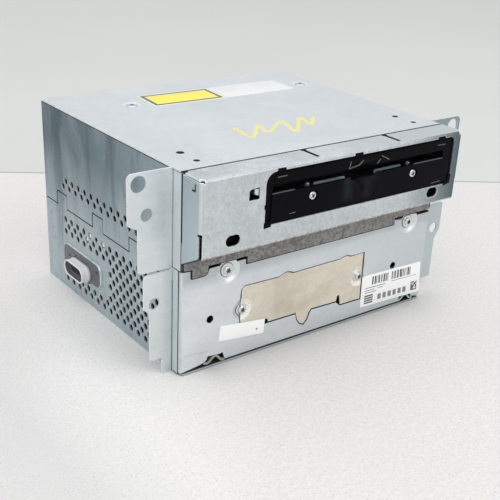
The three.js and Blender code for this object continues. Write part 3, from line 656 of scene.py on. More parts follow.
# painted shade: darker towards the right, and more so along the top as a painted shadow under the bezel's overhang
FRONT = galvanised("galvanised_front", (0.73, 0.765, 0.79), 0.36, 0.65, 0.08, 0.03, 0.025, (0.5, 1, 1.5), smudge=0.18,
                   painted_shade=lambda k, x, y, z: k.math("MAXIMUM", k.span(x, -0.075, 0.055, 0.0, 0.38), k.span(z, 0.0475, 0.0535, 0.0, 0.58)), painted_shade_amount=1.0,
                   painted_shade_to=(0.34, 0.385, 0.405))
# painted highlight: the sheets' cut edges and rims painted lighter than their faces, as the light they catch
EDGE_HIGHLIGHT = galvanised("cut_edge_highlight", (0.84, 0.87, 0.88), 0.30, 0.60, 0.10, 0.05, 0.05)
SCREW = machined("bright_screw", (0.72, 0.73, 0.725), 0.27, (1, 1, 1))
BLACK = plastic("black_plastic", (0.0030, 0.0027, 0.0042), 0.30, 700.0, 0.2, 0.3, 0.05)
# painted highlight: a grey far lighter than the fascia, for the thin raised lines that stand for its bright edges
LINE_HIGHLIGHT = plastic("black_gloss_highlight", (0.11, 0.11, 0.115), 0.22, 700.0, 0.1, 0.2, 0.5)
MECH = machined("mechanism_steel", (0.50, 0.51, 0.52), 0.34, (1, 30, 1))
MECHDARK = machined("mechanism_frame", (0.13, 0.136, 0.142), 0.40, (1, 30, 1))
ALU = machined("aluminium", (0.62, 0.64, 0.66), 0.42, (1, 1, 1), 0.9, 0.08, 0.25)
RUBBER = plastic("black_rubber", (0.02, 0.02, 0.02), 0.8, 500.0, 0.3, 0.2, 0.3)
WHITE = plastic("white_plastic", (0.80, 0.79, 0.74), 0.42, 600.0, 0.1, 0.05)
BRASS = machined("brass", (0.72, 0.52, 0.20), 0.28, (40, 1, 1))
BLUE = plastic("blue_plastic", (0.028, 0.072, 0.21), 0.42, 700.0, 0.12, 0.12)
PORT = plastic("port_plastic", (0.84, 0.84, 0.85), 0.38, 500.0, 0.12, 0.06)
# painted shade: the spigot's white plastic painted dark grey deep in its bore
PORT_BORE_SHADE = plastic("port_bore_shade", (0.16, 0.165, 0.165), 0.45, 500.0, 0.12, 0.15, 0.3)
PORTFLOOR = plastic("port_floor", (0.40, 0.43, 0.42), 0.45, 500.0, 0.12, 0.10, 0.3)
FLANGE = galvanised("port_flange", (0.150, 0.156, 0.166), 0.38, 0.6, 0.18, 0.06, 0.06, smudge=0.7)
BORESHEET = galvanised("bore_sheet", (0.60, 0.65, 0.67), 0.40, 0.45, 0.06, 0.03, 0.03)
PANEDGE = galvanised("pan_edge", (0.36, 0.40, 0.41), 0.40, 0.45, 0.06, 0.03, 0.03)
# painted shade: the bezel's front face darkens to blue-black towards its right end
BEZEL = galvanised("bezel_sheet", (0.52, 0.555, 0.57), 0.36, 0.62, 0.10, 0.09, 0.13, smudge=0.24, bumpy=1.6, fine_scale=820.0,
                   painted_shade=lambda k, x, y, z: k.math("MULTIPLY", k.span(x, 0.046, 0.0870), k.span(y, -0.0893, -0.0885, 1.0, 0.0)), painted_shade_amount=0.95,
                   painted_shade_to=(0.062, 0.098, 0.112))
# painted shade: the top flange is painted darker towards the right; its stain blotches are dirt
FLANGETOP = galvanised("bezel_top", (0.67, 0.695, 0.71), 0.38, 0.60, 0.12, 0.08, 0.10, smudge=0.25, bumpy=1.6, fine_scale=820.0,
                       painted_shade=lambda k, x, y, z: k.span(x, -0.05, 0.06), painted_shade_amount=0.9, painted_shade_to=(0.555, 0.575, 0.585),
                       stain=(0.5, (0.37, 0.355, 0.345)))
# painted shade: the bezel's side wings are painted darker towards their top
WING = galvanised("bezel_wing", (0.56, 0.64, 0.665), 0.36, 0.60, 0.08, 0.03, 0.04, (1, 1, 0.4), smudge=0.75,
                  painted_shade=lambda k, x, y, z: k.span(z, 0.082, 0.109), painted_shade_amount=0.42, painted_shade_to=(0.30, 0.37, 0.40))
BAND = galvanised("band_sheet", (0.48, 0.465, 0.46), 0.46, 0.35, 0.20, 0.55, 0.80, (1, 1, 1), bumpy=2.5, fine_scale=720.0, smudge=0.5)
# painted shadow: the lip under the bezel's overhang is painted dark; its speckle is the sheet's grain
LIP_SHADOWED = galvanised("lip_sheet_shadowed", (0.215, 0.21, 0.20), 0.45, 0.4, 0.14, 0.34, 0.45, bumpy=2.0, fine_scale=720.0, smudge=0.4)
TAN = galvanised("tan_sheet", (0.665, 0.612, 0.515), 0.42, 0.32, 0.08, 0.05, 0.05, smudge=0.30, stain=(0.55, (0.46, 0.41, 0.30)))
OLIVE = galvanised("olive_spring", (0.40, 0.385, 0.32), 0.40, 0.5, 0.12, 0.06, 0.06)
STRIP = galvanised("guide_strip", (0.42, 0.52, 0.53), 0.36, 0.45, 0.10, 0.03, 0.03)


def paper(name, base, spread=0.02, rough=0.5):
    k = Nodes(name)
    fibre = k.noise(1400.0, 3.0, 0.6)
    slow = k.noise(60.0, 3.0, 0.6)
    col = k.mix(k.math("ADD", k.math("MULTIPLY", fibre, 0.45), k.math("MULTIPLY", slow, 0.55)), tone(base, 1 - spread * 1.6), tone(base, 1 + spread))
    return k.finish(col, k.span(slow, 0.3, 0.7, rough - 0.05, rough + 0.07), 0.0, k.bump(k.math("ADD", fibre, slow), 0.12, 0.00004))


PAPER = paper("label_paper", (0.90, 0.90, 0.885))
CREAM = paper("label_cream", (0.86, 0.84, 0.66), 0.03)
FRAMEINK = paper("label_frame_ink", (0.17, 0.16, 0.08), 0.08)
YELLOW = paper("label_yellow", (0.93, 0.79, 0.10), 0.03)
INK = paper("label_ink", (0.035, 0.035, 0.038), 0.2)
INKGREY = paper("label_ink_grey", (0.22, 0.22, 0.225), 0.15)
FAINT = paper("label_ink_faint", (0.60, 0.60, 0.595), 0.05)
PAPERTOP = paper("label_paper_top", (0.77, 0.77, 0.75))
# painted highlights: the screw dishes' walls, on the front plate and the tan cover, painted lighter than the sheet
# around them
DISH_HIGHLIGHT = galvanised("dish_wall_highlight", (0.72, 0.755, 0.765), 0.42, 0.75, 0.06, 0.03, 0.03)
TAN_DISH_HIGHLIGHT = galvanised("tan_dish_highlight", (0.90, 0.865, 0.775), 0.30, 0.5, 0.06, 0.03, 0.03)


def wax(name, base):
    k = Nodes(name)
    grain = k.noise(950.0, 4.0, 0.7)
    slow = k.noise(160.0, 3.0, 0.6)
    col = k.mix(k.span(grain, 0.40, 0.60), base, (0.76, 0.72, 0.42))
    return k.finish(col, k.span(slow, 0.3, 0.7, 0.5, 0.7), 0.0, k.bump(grain, 0.5, 0.00012))


CRAYON = wax("yellow_crayon", (0.80, 0.69, 0.15))
CABLE = plastic("flat_cable", (0.70, 0.66, 0.55), 0.45, 900.0, 0.1, 0.06)


def smear_and_sheen(name):
    """Black moulded plastic, with a lighter, rougher patch in the finger relief: a greasy smear, and painted sheen of
    the relief's glossy shading.
    """
    k = Nodes(name)
    x, y, z = k.xyz()[:3]
    fine = k.noise(700.0, 2.0, 0.6)
    slow = k.noise(30.0, 3.0, 0.6)
    col = k.mix(slow, (0.0012, 0.0011, 0.0020), (0.0026, 0.0024, 0.0040))
    spot = k.math("MULTIPLY", k.math("MULTIPLY", k.span(x, -0.003, 0.003), k.span(x, 0.032, 0.026)), k.math("MULTIPLY", k.span(z, 0.084, 0.088), k.span(z, 0.0985, 0.0965)))
    film = k.noise(130.0, 4.0, 0.65, k.scaled((1, 1, 0.35)))
    # smear and painted sheen: the relief's patch is painted a lighter grey
    mask = k.math("MULTIPLY", spot, k.span(film, 0.44, 0.64))
    col = k.mix(mask, col, (0.013, 0.014, 0.016))
    rough = k.math("ADD", k.span(slow, 0.3, 0.7, 0.26, 0.36), k.math("MULTIPLY", mask, 0.15))
    return k.finish(col, rough, 0.0, k.bump(fine, 0.2, 0.00004), **{"Specular IOR Level": 0.05})


FASCIA = smear_and_sheen("fascia_plastic")


def board(name):
    """Green solder mask with tracks, a field of vias, and near-black parts on top."""
    k = Nodes(name)
    x, y, z = k.xyz()[:3]
    cell = k.voronoi(210.0, "Distance")
    tracks = k.noise(340.0, 1.0, 0.4, k.scaled((1, 0.12, 1)))
    col = k.mix(k.span(tracks, 0.50, 0.53), (0.012, 0.075, 0.035), (0.02, 0.13, 0.06))
    col = k.mix(k.span(cell, 0.10, 0.08), col, (0.50, 0.52, 0.50))
    col = k.mix(k.span(z, 0.04768, 0.04776), col, (0.03, 0.03, 0.035))
    return k.finish(col, k.span(tracks, 0.4, 0.6, 0.30, 0.42), 0.0, k.bump(tracks, 0.25, 0.00006))


BOARD = board("circuit_board")


def ground(name):
    """A pale floor, a shade greyer beyond a line behind the object, with painted light and shade on it to the case's
    left.
    """
    k = Nodes(name)
    x, y, z = k.xyz()[:3]
    n = k.noise(3.0, 3.0, 0.6)
    speck = k.noise(420.0, 5.0, 0.8)
    base = k.mix(k.span(n, 0.3, 0.7), (0.772, 0.741, 0.717), (0.811, 0.780, 0.755))
    base = k.mix(k.math("MULTIPLY", k.span(speck, 0.40, 0.66), 0.62), base, (0.63, 0.606, 0.58))
    # painted light: brighter just left of the case, easing further out; painted shade towards the far left
    left = k.math("ADD", k.math("MULTIPLY", x, -0.795), k.math("MULTIPLY", y, 0.604))
    base = k.mix(k.span(left, -0.02, 0.09), base, (0.94, 0.912, 0.886))
    base = k.mix(k.span(left, 0.08, 0.16), base, (0.845, 0.788, 0.76))
    base = k.mix(k.math("MULTIPLY", k.span(x, -0.125, -0.172), 0.92), base, (0.69, 0.672, 0.655))
    fleck = k.math("MULTIPLY", k.span(speck, 0.40, 0.66), k.span(left, -0.02, 0.09))
    base = k.mix(k.math("MULTIPLY", fleck, 0.28), base, (0.60, 0.58, 0.56))
    grit = k.noise(980.0, 2.0, 0.75)
    base = k.mix(k.math("MULTIPLY", k.span(grit, 0.585, 0.66), 0.6), base, (0.40, 0.39, 0.37))
    far = k.math("ADD", k.math("MULTIPLY", x, 0.54), k.math("MULTIPLY", y, 0.841))
    grey = k.mix(k.span(n, 0.3, 0.7), (0.66, 0.66, 0.615), (0.69, 0.69, 0.65))
    base = k.mix(k.span(far, 0.213, 0.2145), base, grey)
    seam = k.math("MULTIPLY", k.span(far, 0.2115, 0.2135), k.span(far, 0.2150, 0.2135))
    base = k.mix(k.math("MULTIPLY", seam, 0.85), base, (0.20, 0.20, 0.17))
    # a soft shade along the case's front foot
    shade = k.math("MULTIPLY", k.span(y, -0.112, -0.0775), k.math("MULTIPLY", k.span(x, -0.100, -0.070), k.span(x, 0.125, 0.080)))
    shade = k.math("MULTIPLY", shade, k.span(y, -0.060, -0.0735))
    base = k.mix(k.math("MULTIPLY", k.math("POWER", shade, 2.2), 0.52), base, (0.42, 0.425, 0.42))
    return k.finish(base, k.span(n, 0.3, 0.7, 0.5, 0.6), 0.0, k.bump(speck, 0.1, 0.0002), **{"Specular IOR Level": 0.3})


FLOOR = ground("pale_floor")

# ------------------------------------------------------------------ top cover
H = 112.2
SEATS = ((-48.3, 117.2), (78.3, 116.2))
TOP_DIMPLES = ((-67.6, 11.3, 1.5), (-60.2, 10.0, 2.5), (70.9, 11.3, 1.5), (61.4, 10.3, 2.5))


def top_form(x, y):
    w = 0.0
    for cx, cy in SEATS:
        w += 0.55 * (1 - smooth((math.hypot(x - cx, y - cy) - 3.9) / 2.7))
    for cx, cy, r in TOP_DIMPLES:
        w += 0.4 * (1 - smooth(math.hypot(x - cx, y - cy) / r))
    w += 0.35 * (1 - smooth(math.hypot(x + 54.6, y - 85.5) / 0.9))
    return w


holes = [circle(cx, cy, 3.5, 32) for cx, cy in SEATS]
holes += [circle(-73.8, 25.5, 1.95, 20), circle(-73.7, 10.9, 1.5, 18), circle(75.7, 24.8, 1.7, 20), circle(76.3, 10.5, 1.4, 18)]
pts = [p for c in SEATS for p in ring_points(*c, (4.1, 4.6, 5.1, 5.6, 6.1, 6.6), 32)]
for cx, cy, r in TOP_DIMPLES + ((-54.6, 85.5, 0.9),):
    pts += ring_points(cx, cy, [r * q for q in (0.25, 0.5, 0.75, 1.0, 1.3)], 12)
bm = place(sheet(rect(-89, 0.6, 89, 152.4, 0.5), holes, 1.0, 0.28, 0.15, pts, top_form), lambda u, v, w: (u, v, H - w))
o = weighted(finish_mesh(bm, "cover_sheet", "chassis", ["top_cover"], [TOP, EDGE_HIGHLIGHT], edge=EDGE_HIGHLIGHT, bore=HOLE_SHADE, back=INSIDE_SHADE))
o.data.materials.append(GAP_SHADE)
# painted highlight on the lid's screw seats, and painted shade on the cover's front rim
for p in o.data.polygons:
    if min(math.hypot(p.center.x * 1000 - cx, p.center.y * 1000 + YC - cy) for cx, cy in SEATS) < 5.4 and p.material_index != 4:
        p.material_index = 1
    elif p.material_index == 2 and p.center.y * 1000 + YC < 1.3:
        p.material_index = 5

# ------------------------------------------------------------------ side walls, each bent out into an ear
S0 = 96.458
NOTCH = ((38.6, 51.4), (80.1, 92.6), (123.9, 136.6))
ARC = [-89.3 + 2.042 * k / 5 for k in range(6)]


def wall_map(seam, side):
    def fn(u, v, w):
        if u > -87.258 or v < seam:
            q = (-88.0 - w, u + S0, v)
        elif u < -89.3:
            q = (u, 7.9 + w, v)
        else:
            a = (u + 89.3) / 1.3
            q = (-89.3 + (1.3 - w) * math.sin(a), 9.2 - (1.3 - w) * math.cos(a), v)
        return (q[0] * -side, q[1], q[2])
    return fn


def vents(rows):
    return [circle(first - 7.7 * k - S0, z, 2.02, 14, 0.2) for z, first, n in rows for k in range(n)]


UPPER_ROWS = [(69.6, 124.6, 12), (65.6, 128.4, 12)]
LOWER_ROWS = [(45.1, 127.0, 14), (41.3, 123.1, 14)]
PORT_ROWS = [(37.4, 127.0, 14)] + [(z, 123.1 - 53.9, 7) for z in (33.6, 25.9, 18.1)] + [(z, 127.0 - 53.9, 7) for z in (29.7, 22.0, 14.3)]
FOOT_ROWS = [(10.4, 123.1, 14), (6.6, 127.0, 14)]
UP_DOTS = ((101.9, 96.1), (97.3, 96.4), (98.1, 85.2), (149.7, 88.3), (148.7, 77.8))
UP_DIMPLES = ((109.6, 56.2), (67.0, 56.0), (146.4, 57.3))
LOW_DIMPLES = ((128.4, 57.3), (86.8, 57.1), (45.0, 57.1), (148.5, 46.8), (146.6, 39.2))


def pock(y, z, spots, radius, depth):
    return -sum(depth * (1 - smooth(math.hypot(y - a, z - b) / radius)) for a, b in spots)


def up_form(u, v):
    y = u + S0
    if y < 12:
        return 0.0
    return pock(y, v, UP_DIMPLES, 1.3, 0.75) + pock(y, v, UP_DOTS[:3], 0.9, 0.6) - pock(y, v, UP_DOTS[3:], 1.5, 0.5)


def low_form(u, v, port=True):
    y = u + S0
    if y < 12:
        return 0.0
    w = pock(y, v, LOW_DIMPLES, 1.3, 0.7)
    if port:
        edge = max(16.0 - v, v - 43.0, 0.0)
        w += 0.45 * (1 - smooth(math.hypot(y - 132.3, edge) / 1.2))
    return w


def dimple_points(spots, radii=(0.35, 0.7, 1.05, 1.45, 1.9), n=10):
    return [p for a, b in spots for p in ring_points(a - S0, b, radii, n)]


def ear_faces(o):
    """Gives a wall's ear its own material, front and back, and paints shade on the cut edges along the walls' seam."""
    for p in o.data.polygons:
        y, z = p.center.y * 1000 + YC, p.center.z * 1000
        if y < 9.15:
            if p.material_index in (0, 5):
                p.material_index = 1
        elif p.material_index == 3 and (50.0 < z < 62.0 or z > 110.5):
            p.material_index = 2


for side, tag in ((-1, "left"), (1, "right")):
    # upper
    o = [(-108.6, 60.0, 2), (-87.1, 60.0), (-87.1, 59.4), (-88.5, 59.4), (-88.5, 52.4)]
    for a, b in NOTCH:
        o += [(a - S0, 52.4), (a - S0, 60.9, 0.3), (b - S0, 60.9, 0.3), (b - S0, 52.4)]
    o += [(152.4 - S0, 52.4), (152.4 - S0, 110.9), (-89.2, 110.9), (-89.2, 112.2), (-114.3, 112.2, 3), (-114.1, 86.5, 1), (-108.6, 83.6, 0.6)]
    hol = [circle(-108.0, 106.5, 4.2, 30), circle(-103.6, 90.4, 3.35, 26)] + vents(UPPER_ROWS)
    bm = sheet(rounded(o, 6), hol, 1.0, 0.14, 0.14, dimple_points(UP_DIMPLES + UP_DOTS), up_form, cuts_u=ARC)
    place(bm, wall_map(59.7, side))
    ear_faces(weighted(finish_mesh(bm, "upper_wall_" + tag, "chassis", ["upper_side_" + tag], [INSIDE_SHADE, EAR, GAP_SHADE], edge=EDGE_HIGHLIGHT, bore=BORESHEET, back=SIDE_SHADED)))
    # lower
    if side < 0:
        ear = [(-89.4, 58.6), (-105.6, 58.6, 2.5), (-105.6, 40.0, 0.8), (-102.2, 37.0, 0.8), (-102.2, 9.5, 1.5), (-95.0, 9.5, 0.4), (-95.0, 0.0, 0.5)]
        screw_hole = circle(-99.5, 42.2, 3.1, 26)
    else:
        ear = [(-89.4, 58.6), (-109.2, 58.6, 2.5), (-109.2, 40.3, 0.8), (-105.5, 34.7, 0.8), (-105.5, 8.2, 1.5), (-95.0, 8.2, 0.4), (-95.0, 0.0, 0.5)]
        screw_hole = circle(-103.2, 41.9, 3.1, 26)
    o = [(152.4 - S0, 0.0, 0.4), (152.4 - S0, 51.92)]
    for a, b in reversed(NOTCH):
        o += [(b - 0.55 - S0, 51.92), (b - 0.55 - S0, 60.4, 0.3), (a + 0.12 - S0, 60.4, 0.1), (a + 0.12 - S0, 51.92)]
    o += [(-89.4, 51.92)] + ear
    rows = LOWER_ROWS + (PORT_ROWS if side < 0 else []) + FOOT_ROWS
    hol = [screw_hole] + vents(rows)
    if side < 0:
        hol.append(rect(94.0 - S0, 14.8, 118.3 - S0, 26.0, 5.4, 7))
        # holes that the port's flange would cut through are left out
        hol = [h for h in hol[:-1] if not (80.6 - 2 < np.mean([p[0] for p in h]) + S0 < 127.8 + 2 and 12.5 < np.mean([p[1] for p in h]) < 32.5)] + hol[-1:]
    bead = [(132.3 - S0 + dx, z) for z in np.arange(14.6, 44.6, 1.0) for dx in (-1.3, -0.9, -0.5, 0.0, 0.5, 0.9, 1.3)] if side < 0 else []
    bm = sheet(rounded(o, 6), hol, 1.0, 0.14, 0.14, dimple_points(LOW_DIMPLES) + bead, (lambda u, v, q=side < 0: low_form(u, v, q)), cuts_u=ARC)
    place(bm, wall_map(-99.0, side))
    ear_faces(weighted(finish_mesh(bm, "lower_wall_" + tag, "chassis", ["lower_side_" + tag], [INSIDE_SHADE, EAR, GAP_SHADE], edge=EDGE_HIGHLIGHT, bore=BORESHEET, back=SIDE_SHADED)))

    # corner post, and the short strip below it that the front plate's wrap ends against
    o = [(88.0, 7.6), (88.0, 1.5), (84.6, 1.5), (84.6, 0.5), (88.8, 0.5), (89.0, 0.7), (89.0, 7.6)]
    o = weighted(finish_mesh(prism([(side * x, y) for x, y in o], 60.2, 110.9, "xy", 0.12), "post_" + tag, "chassis",
                             ["front_post_" + tag], [POST, GAP_SHADE]))
    # painted shade: the post's front faces, which sit in the gap behind the bezel's wing
    for p in o.data.polygons:
        if p.normal.y < -0.5:
            p.material_index = 1
    # the strip's cut edges get the painted seam shade, its back the painted inside shade
    bm = place(sheet([(2.5, 1.0), (7.6, 1.0), (7.6, 59.85), (2.5, 59.85)], (), 1.0, 0.15, 0.12), lambda u, v, w, s=side: (s * (89.0 - w), u, v))
    weighted(finish_mesh(bm, "corner_strip_" + tag, "chassis", (), [POST], edge=GAP_SHADE, back=INSIDE_SHADE))

# ------------------------------------------------------------------ base pan and rear panel


def pan_form(x, y):
    w = 0.0
    for cx in (-62.0, -20.0, 20.0, 62.0):
        edge = max(22.0 - y, y - 130.0, 0.0)
        w += 0.6 * (1 - smooth((math.hypot(x - cx, edge) - 0.6) / 1.8))
    return w + 0.45 * (1 - smooth((y + 0.3) / 4.0))


pts = [(cx + dx, y) for cx in (-62.0, -20.0, 20.0, 62.0) for y in np.arange(19.0, 133.5, 2.0) for dx in (-2.6, -2.0, -1.4, -0.8, 0.0, 0.8, 1.4, 2.0, 2.6)]
pts += [(x, y) for x in np.arange(-85.0, 86.0, 5.0) for y in (0.7, 1.7, 2.7, 3.8)]
bm = place(sheet(rect(-87.9, -0.25, 87.9, 151.2, 0.8), (), 1.0, 0.2, 0.15, pts, pan_form), lambda u, v, w: (-u, v, 0.0 + w))
weighted(finish_mesh(bm, "pan", "chassis", ["base_pan"], [FRONT], edge=PANEDGE, back=HOLE_SHADE))

GRILLE = [circle(-50, 26, 2.6, 22)] + [circle(-50 + 7 * math.cos(i * PI / 3), 26 + 7 * math.sin(i * PI / 3), 2.6, 22) for i in range(6)]
GRILLE += [circle(-50 + 14 * math.cos(i * PI / 6), 26 + 14 * math.sin(i * PI / 6), 2.6, 22) for i in range(12)]
REAR_BEADS = (((-74.0, 58.0), (74.0, 58.0)), ((-74.0, 98.0), (-18.0, 98.0)), ((18.0, 98.0), (74.0, 98.0)))
REAR_SEATS = ((-82.0, 104.5), (82.0, 104.5), (-82.0, 6.5), (82.0, 6.5), (0.0, 80.0))


def rear_form(x, z):
    w = 0.0
    for (x0, z0), (x1, _) in REAR_BEADS:
        edge = max(x0 - x, x - x1, 0.0)
        w -= 0.7 * (1 - smooth((math.hypot(edge, z - z0) - 0.8) / 2.2))
    for cx, cz in REAR_SEATS:
        w += 0.5 * (1 - smooth((math.hypot(x - cx, z - cz) - 3.2) / 1.4))
    w += 0.6 * (1 - smooth((math.hypot(x + 50, z - 26) - 18.3) / 1.6))
    return w


pts = [(x, z0 + dz) for (x0, z0), (x1, _) in REAR_BEADS for x in np.arange(x0 - 3, x1 + 3.1, 2.0) for dz in (-3.1, -2.4, -1.8, -1.2, -0.6, 0.0, 0.6, 1.2, 1.8, 2.4, 3.1)]
pts += [p for c in REAR_SEATS for p in ring_points(*c, (2.6, 3.2, 3.6, 4.0, 4.4, 4.8), 24)]
pts += ring_points(-50, 26, (17.8, 18.3, 18.7, 19.1, 19.5, 19.9, 20.3), 56)
hol = GRILLE + [rect(-22.3, 7.7, 26.3, 40.3, 1.0), rect(39.7, 9.7, 80.3, 24.3, 1.0)] + [circle(cx, cz, 1.8, 18) for cx, cz in REAR_SEATS]
hol += [stadium(60.0, 44.0 + 5 * k, 26, 2.2, 6) for k in range(2)]
hol += [stadium(x, 80.0, 3.0, 12.0, 6) for x in (-70, -63, -56, -49, -42, -35, 35, 42, 49, 56, 63, 70)]
bm = place(sheet(rect(-87.8, 1.3, 87.8, 110.9, 1.0), hol, 1.0, 0.16, 0.12, pts, rear_form), lambda u, v, w: (-u, 152.4 - w, v))
for v in bm.verts:
    v.co.x = -v.co.x
weighted(finish_mesh(bm, "rear_sheet", "chassis", ["rear_panel"], [FRONT], edge=EDGE_HIGHLIGHT, bore=HOLE_SHADE, back=INSIDE_SHADE))

# ------------------------------------------------------------------ drive bezel, one folded sheet
A = math.radians(62.73)
V0 = 40.462
VPATH = Path((0.0, 50.0), PI / 2, [(13.534, 0), (0.657, A), (16.77, 0), (1.752, -A), (37.225, 0), (2.827, -PI / 2), (16.0, 0)], -1)
HPATH = Path((87.2, -16.1), 0.0, [(2.827, PI / 2), (16.0, 0)])


def bezel_map(u, v, w):
    if abs(u) > 87.2 and v < 111.0 and not (v < 74.0 and abs(u) < 88.0):
        p = HPATH.at(abs(u) - 87.2, w)
        return (math.copysign(p.x, u), p.y, v)
    p = VPATH.at(v - V0, w)
    return (u, p.x, p.y)


o = [(-87.4, 50.36), (-82.5, 50.06), (-82.5, 45.16, 1), (-72.4, 45.16, 3), (-72.4, 50.06, 0.4), (-48.1, 50.06, 0.4), (-48.1, 45.86, 0.8),
     (59.3, 45.86, 0.8), (59.3, 50.06, 0.4), (87.4, 50.26), (87.4, 53.6), (87.6, 54.66), (87.6, 84.2, 0.3), (88.5, 84.2, 0.3), (88.5, 73.2),
     (90.03, 72.3), (103.83, 64.6), (103.83, 110.9), (87.3, 110.9), (87.3, 110.2), (86.7, 110.2), (86.7, 113.4), (88.8, 113.6),
     (88.8, 127.227, 0.6), (43.15, 127.227), (43.15, 125.6), (42.5, 125.6), (42.5, 114.4, 0.5), (40.6, 114.4, 0.5), (40.6, 125.6), (39.95, 125.6), (39.95, 127.227),
     (-14.45, 127.227), (-14.45, 125.6), (-15.1, 125.6), (-15.1, 114.4, 0.5), (-17.0, 114.4, 0.5), (-17.0, 125.6), (-17.65, 125.6), (-17.65, 127.227),
     (-86.3, 127.227), (-86.6, 125.4, 0.4), (-88.8, 125.2), (-88.8, 113.6), (-86.9, 113.3), (-86.6, 112.0), (-86.5, 110.8),
     (-86.7, 110.3), (-87.2, 110.2), (-87.4, 110.5), (-87.4, 110.9), (-103.83, 110.9), (-103.83, 76.2), (-104.5, 75.6), (-104.5, 64.3),
     (-90.03, 72.3), (-89.3, 73.6), (-89.3, 84.0, 0.2), (-90.4, 84.4), (-90.4, 85.2), (-87.6, 85.2, 0.4), (-87.6, 54.66), (-87.4, 53.6)]
win = [(-50.9, 82.3), (82.8, 82.3, 1.8), (82.8, 109.8, 3.6)]
for a, b in ((69.8, 75.0), (7.0, 12.2), (-43.9, -39.2)):
    win += [(b + 0.3, 109.8), (b + 0.3, 111.1), (a - 0.3, 111.1), (a - 0.3, 109.8)]
win += [(-50.9, 109.8, 6.2), (-50.9, 93.6), (-51.5, 93.2), (-51.5, 91.4), (-50.9, 91.0)]
lance = [(-93.5, 109.2), (-93.5, 106.1), (-95.8, 106.1), (-95.8, 105.5), (-92.9, 105.5), (-92.9, 109.2)]
hol = [rounded(win, 8), stadium(-69.7, 78.7, 8.7, 5.85, 10), stadium(69.7, 78.7, 8.7, 5.85, 10), rounded([(-61.0, 97.3), (-54.6, 97.3), (-54.6, 103.4), (-61.0, 103.0, 1.4)], 4), lance]
cu = [s * (87.2 + d) for s in (-1, 1) for d in HPATH.stations(6)]
cv = [V0 + d for d in VPATH.stations(6)]
bm = sheet(rounded(o, 5), hol, 1.0, 0.2, 0.14, cuts_u=cu, cuts_v=cv)
place(bm, bezel_map)
o = weighted(finish_mesh(bm, "bezel", "chassis", ["drive_bezel"], [BEZEL, BAND, LIP_SHADOWED, WING, FLANGETOP, HOLE_SHADE], edge=EDGE_HIGHLIGHT, back=INSIDE_SHADE))
o.data.materials.append(BEND)
for p in o.data.polygons:
    x, y, z = p.center.x * 1000, p.center.y * 1000 + YC, p.center.z * 1000
    # rims in the gaps at the top, sides and bottom get painted shade; the window's right rim takes the face's painted
    # shade
    if p.material_index == 6:
        if z > 110.5 and (y > -0.6 or -14.0 < y and abs(x) < 60) or z < 109.2 and y > -15.5 and abs(x) > 87.0 or z < 61.0:
            p.material_index = 5
        elif 78.0 < x < 86.0 and 80.0 < z < 110.0:
            p.material_index = 0
        continue
    if p.material_index:
        continue
    # painted highlight: the rounded front corners take the lighter bend tone
    if 88.15 < abs(x) < 88.97 and y < -14.35 and z > 73.0:
        p.material_index = 8
    elif abs(x) > 88.5 and z < 110.5:
        p.material_index = 3
    elif z > 111.0 and y > -15.0:
        p.material_index = 4
    # painted shadow: the lip under the overhang
    elif z < 64.1 and abs(p.center.x) < 0.0877:
        p.material_index = 2
    elif z < 72.6 - (y + 16.1) * 0.5155 + 0.35 and abs(p.center.x) < 0.0877:
        p.material_index = 1

# bright spring tongue behind the bezel's small window
bm = sheet([(0, 98.6), (3.4, 99.3), (7.2, 100.0), (7.2, 101.4), (0, 102.5)], (), 0.4, 0.08, 0.05, cuts_u=[0.8, 1.2, 1.6, 2.0, 2.4, 2.8, 3.2, 3.6])
path = Path((-53.4, -14.85), PI, [(0.8, 0), (2.8, -PI * 0.36), (6.0, 0)], -1)
place(bm, lambda u, v, w: (path.at(u, w).x, path.at(u, w).y, v))
weighted(finish_mesh(bm, "window_spring", "chassis", (), [SCREW]))

# ------------------------------------------------------------------ lower front plate
PLATE_SCREWS = ((-60.05, 54.2), (71.3, 54.8))
COVER_SCREWS = ((-50.0, 29.0), (34.2, 28.1))
COVER = [(-48.9, 42.4), (-50.6, 40.9), (-50.6, 16.7), (-35.0, 16.7), (-35.1, 17.8), (-34.4, 18.8), (-33.2, 19.0), (-32.2, 18.4), (-31.8, 16.7), (-12, 16.6), (-11, 12.4),
         (-8.6, 9.2), (-6.1, 8.2), (-3.9, 10.4), (-2.4, 14.6), (-0.9, 16.4), (18.2, 16.0), (18.6, 19.3), (20.4, 19.5), (21.3, 13.2), (37.0, 13.0),
         (36.6, 42.3), (26.2, 42.4), (23.9, 43.5), (21.2, 43.3), (18.6, 42.5), (-16.1, 42.2), (-18.2, 43.2), (-20.6, 43.7), (-22.8, 43.3), (-25.4, 42.0)]
HP2 = Path((87.4, 0.0), 0.0, [(2.513, PI / 2), (7.0, 0)])


def rect_gap(x, z, x0, z0, x1, z1):
    return math.hypot(max(x0 - x, x - x1, 0.0), max(z0 - z, z - z1, 0.0))


def plate_form(x, z):
    if abs(x) > 86.5:
        return 0.0
    w = 0.0
    for cx, cz in PLATE_SCREWS:
        w = max(w, 1.6 * (1 - smooth((math.hypot(x - cx, z - cz) - 4.3) / 3.0)))
    for cx, cz in COVER_SCREWS:
        w = max(w, 1.3 * (1 - smooth((math.hypot(x - cx, z - cz) - 3.6) / 3.2)))
    w = max(w, 0.5 * (1 - smooth((rect_gap(x, z, -82.9, 54.3, -72.0, 70) - 0.4) / 2.2)))
    w = max(w, 0.5 * (1 - smooth((rect_gap(x, z, -48.5, 55.0, 59.7, 70) - 0.6) / 2.6)))
    w += 0.035 * max(0.0, 9.0 - z)
    if x < -72.0:
        w += 0.35 * (1 - smooth((z - crease(x) + 0.5) / 1.0))
    t = (x + 56.2) / 19.1
    if 0 < t < 1:
        w += 0.14 * (1 - smooth(abs(z - 10.7 + 0.7 * t) / 0.35))
    return w


def crease(x):
    return 11.1 - (x + 86.3) * 0.0588


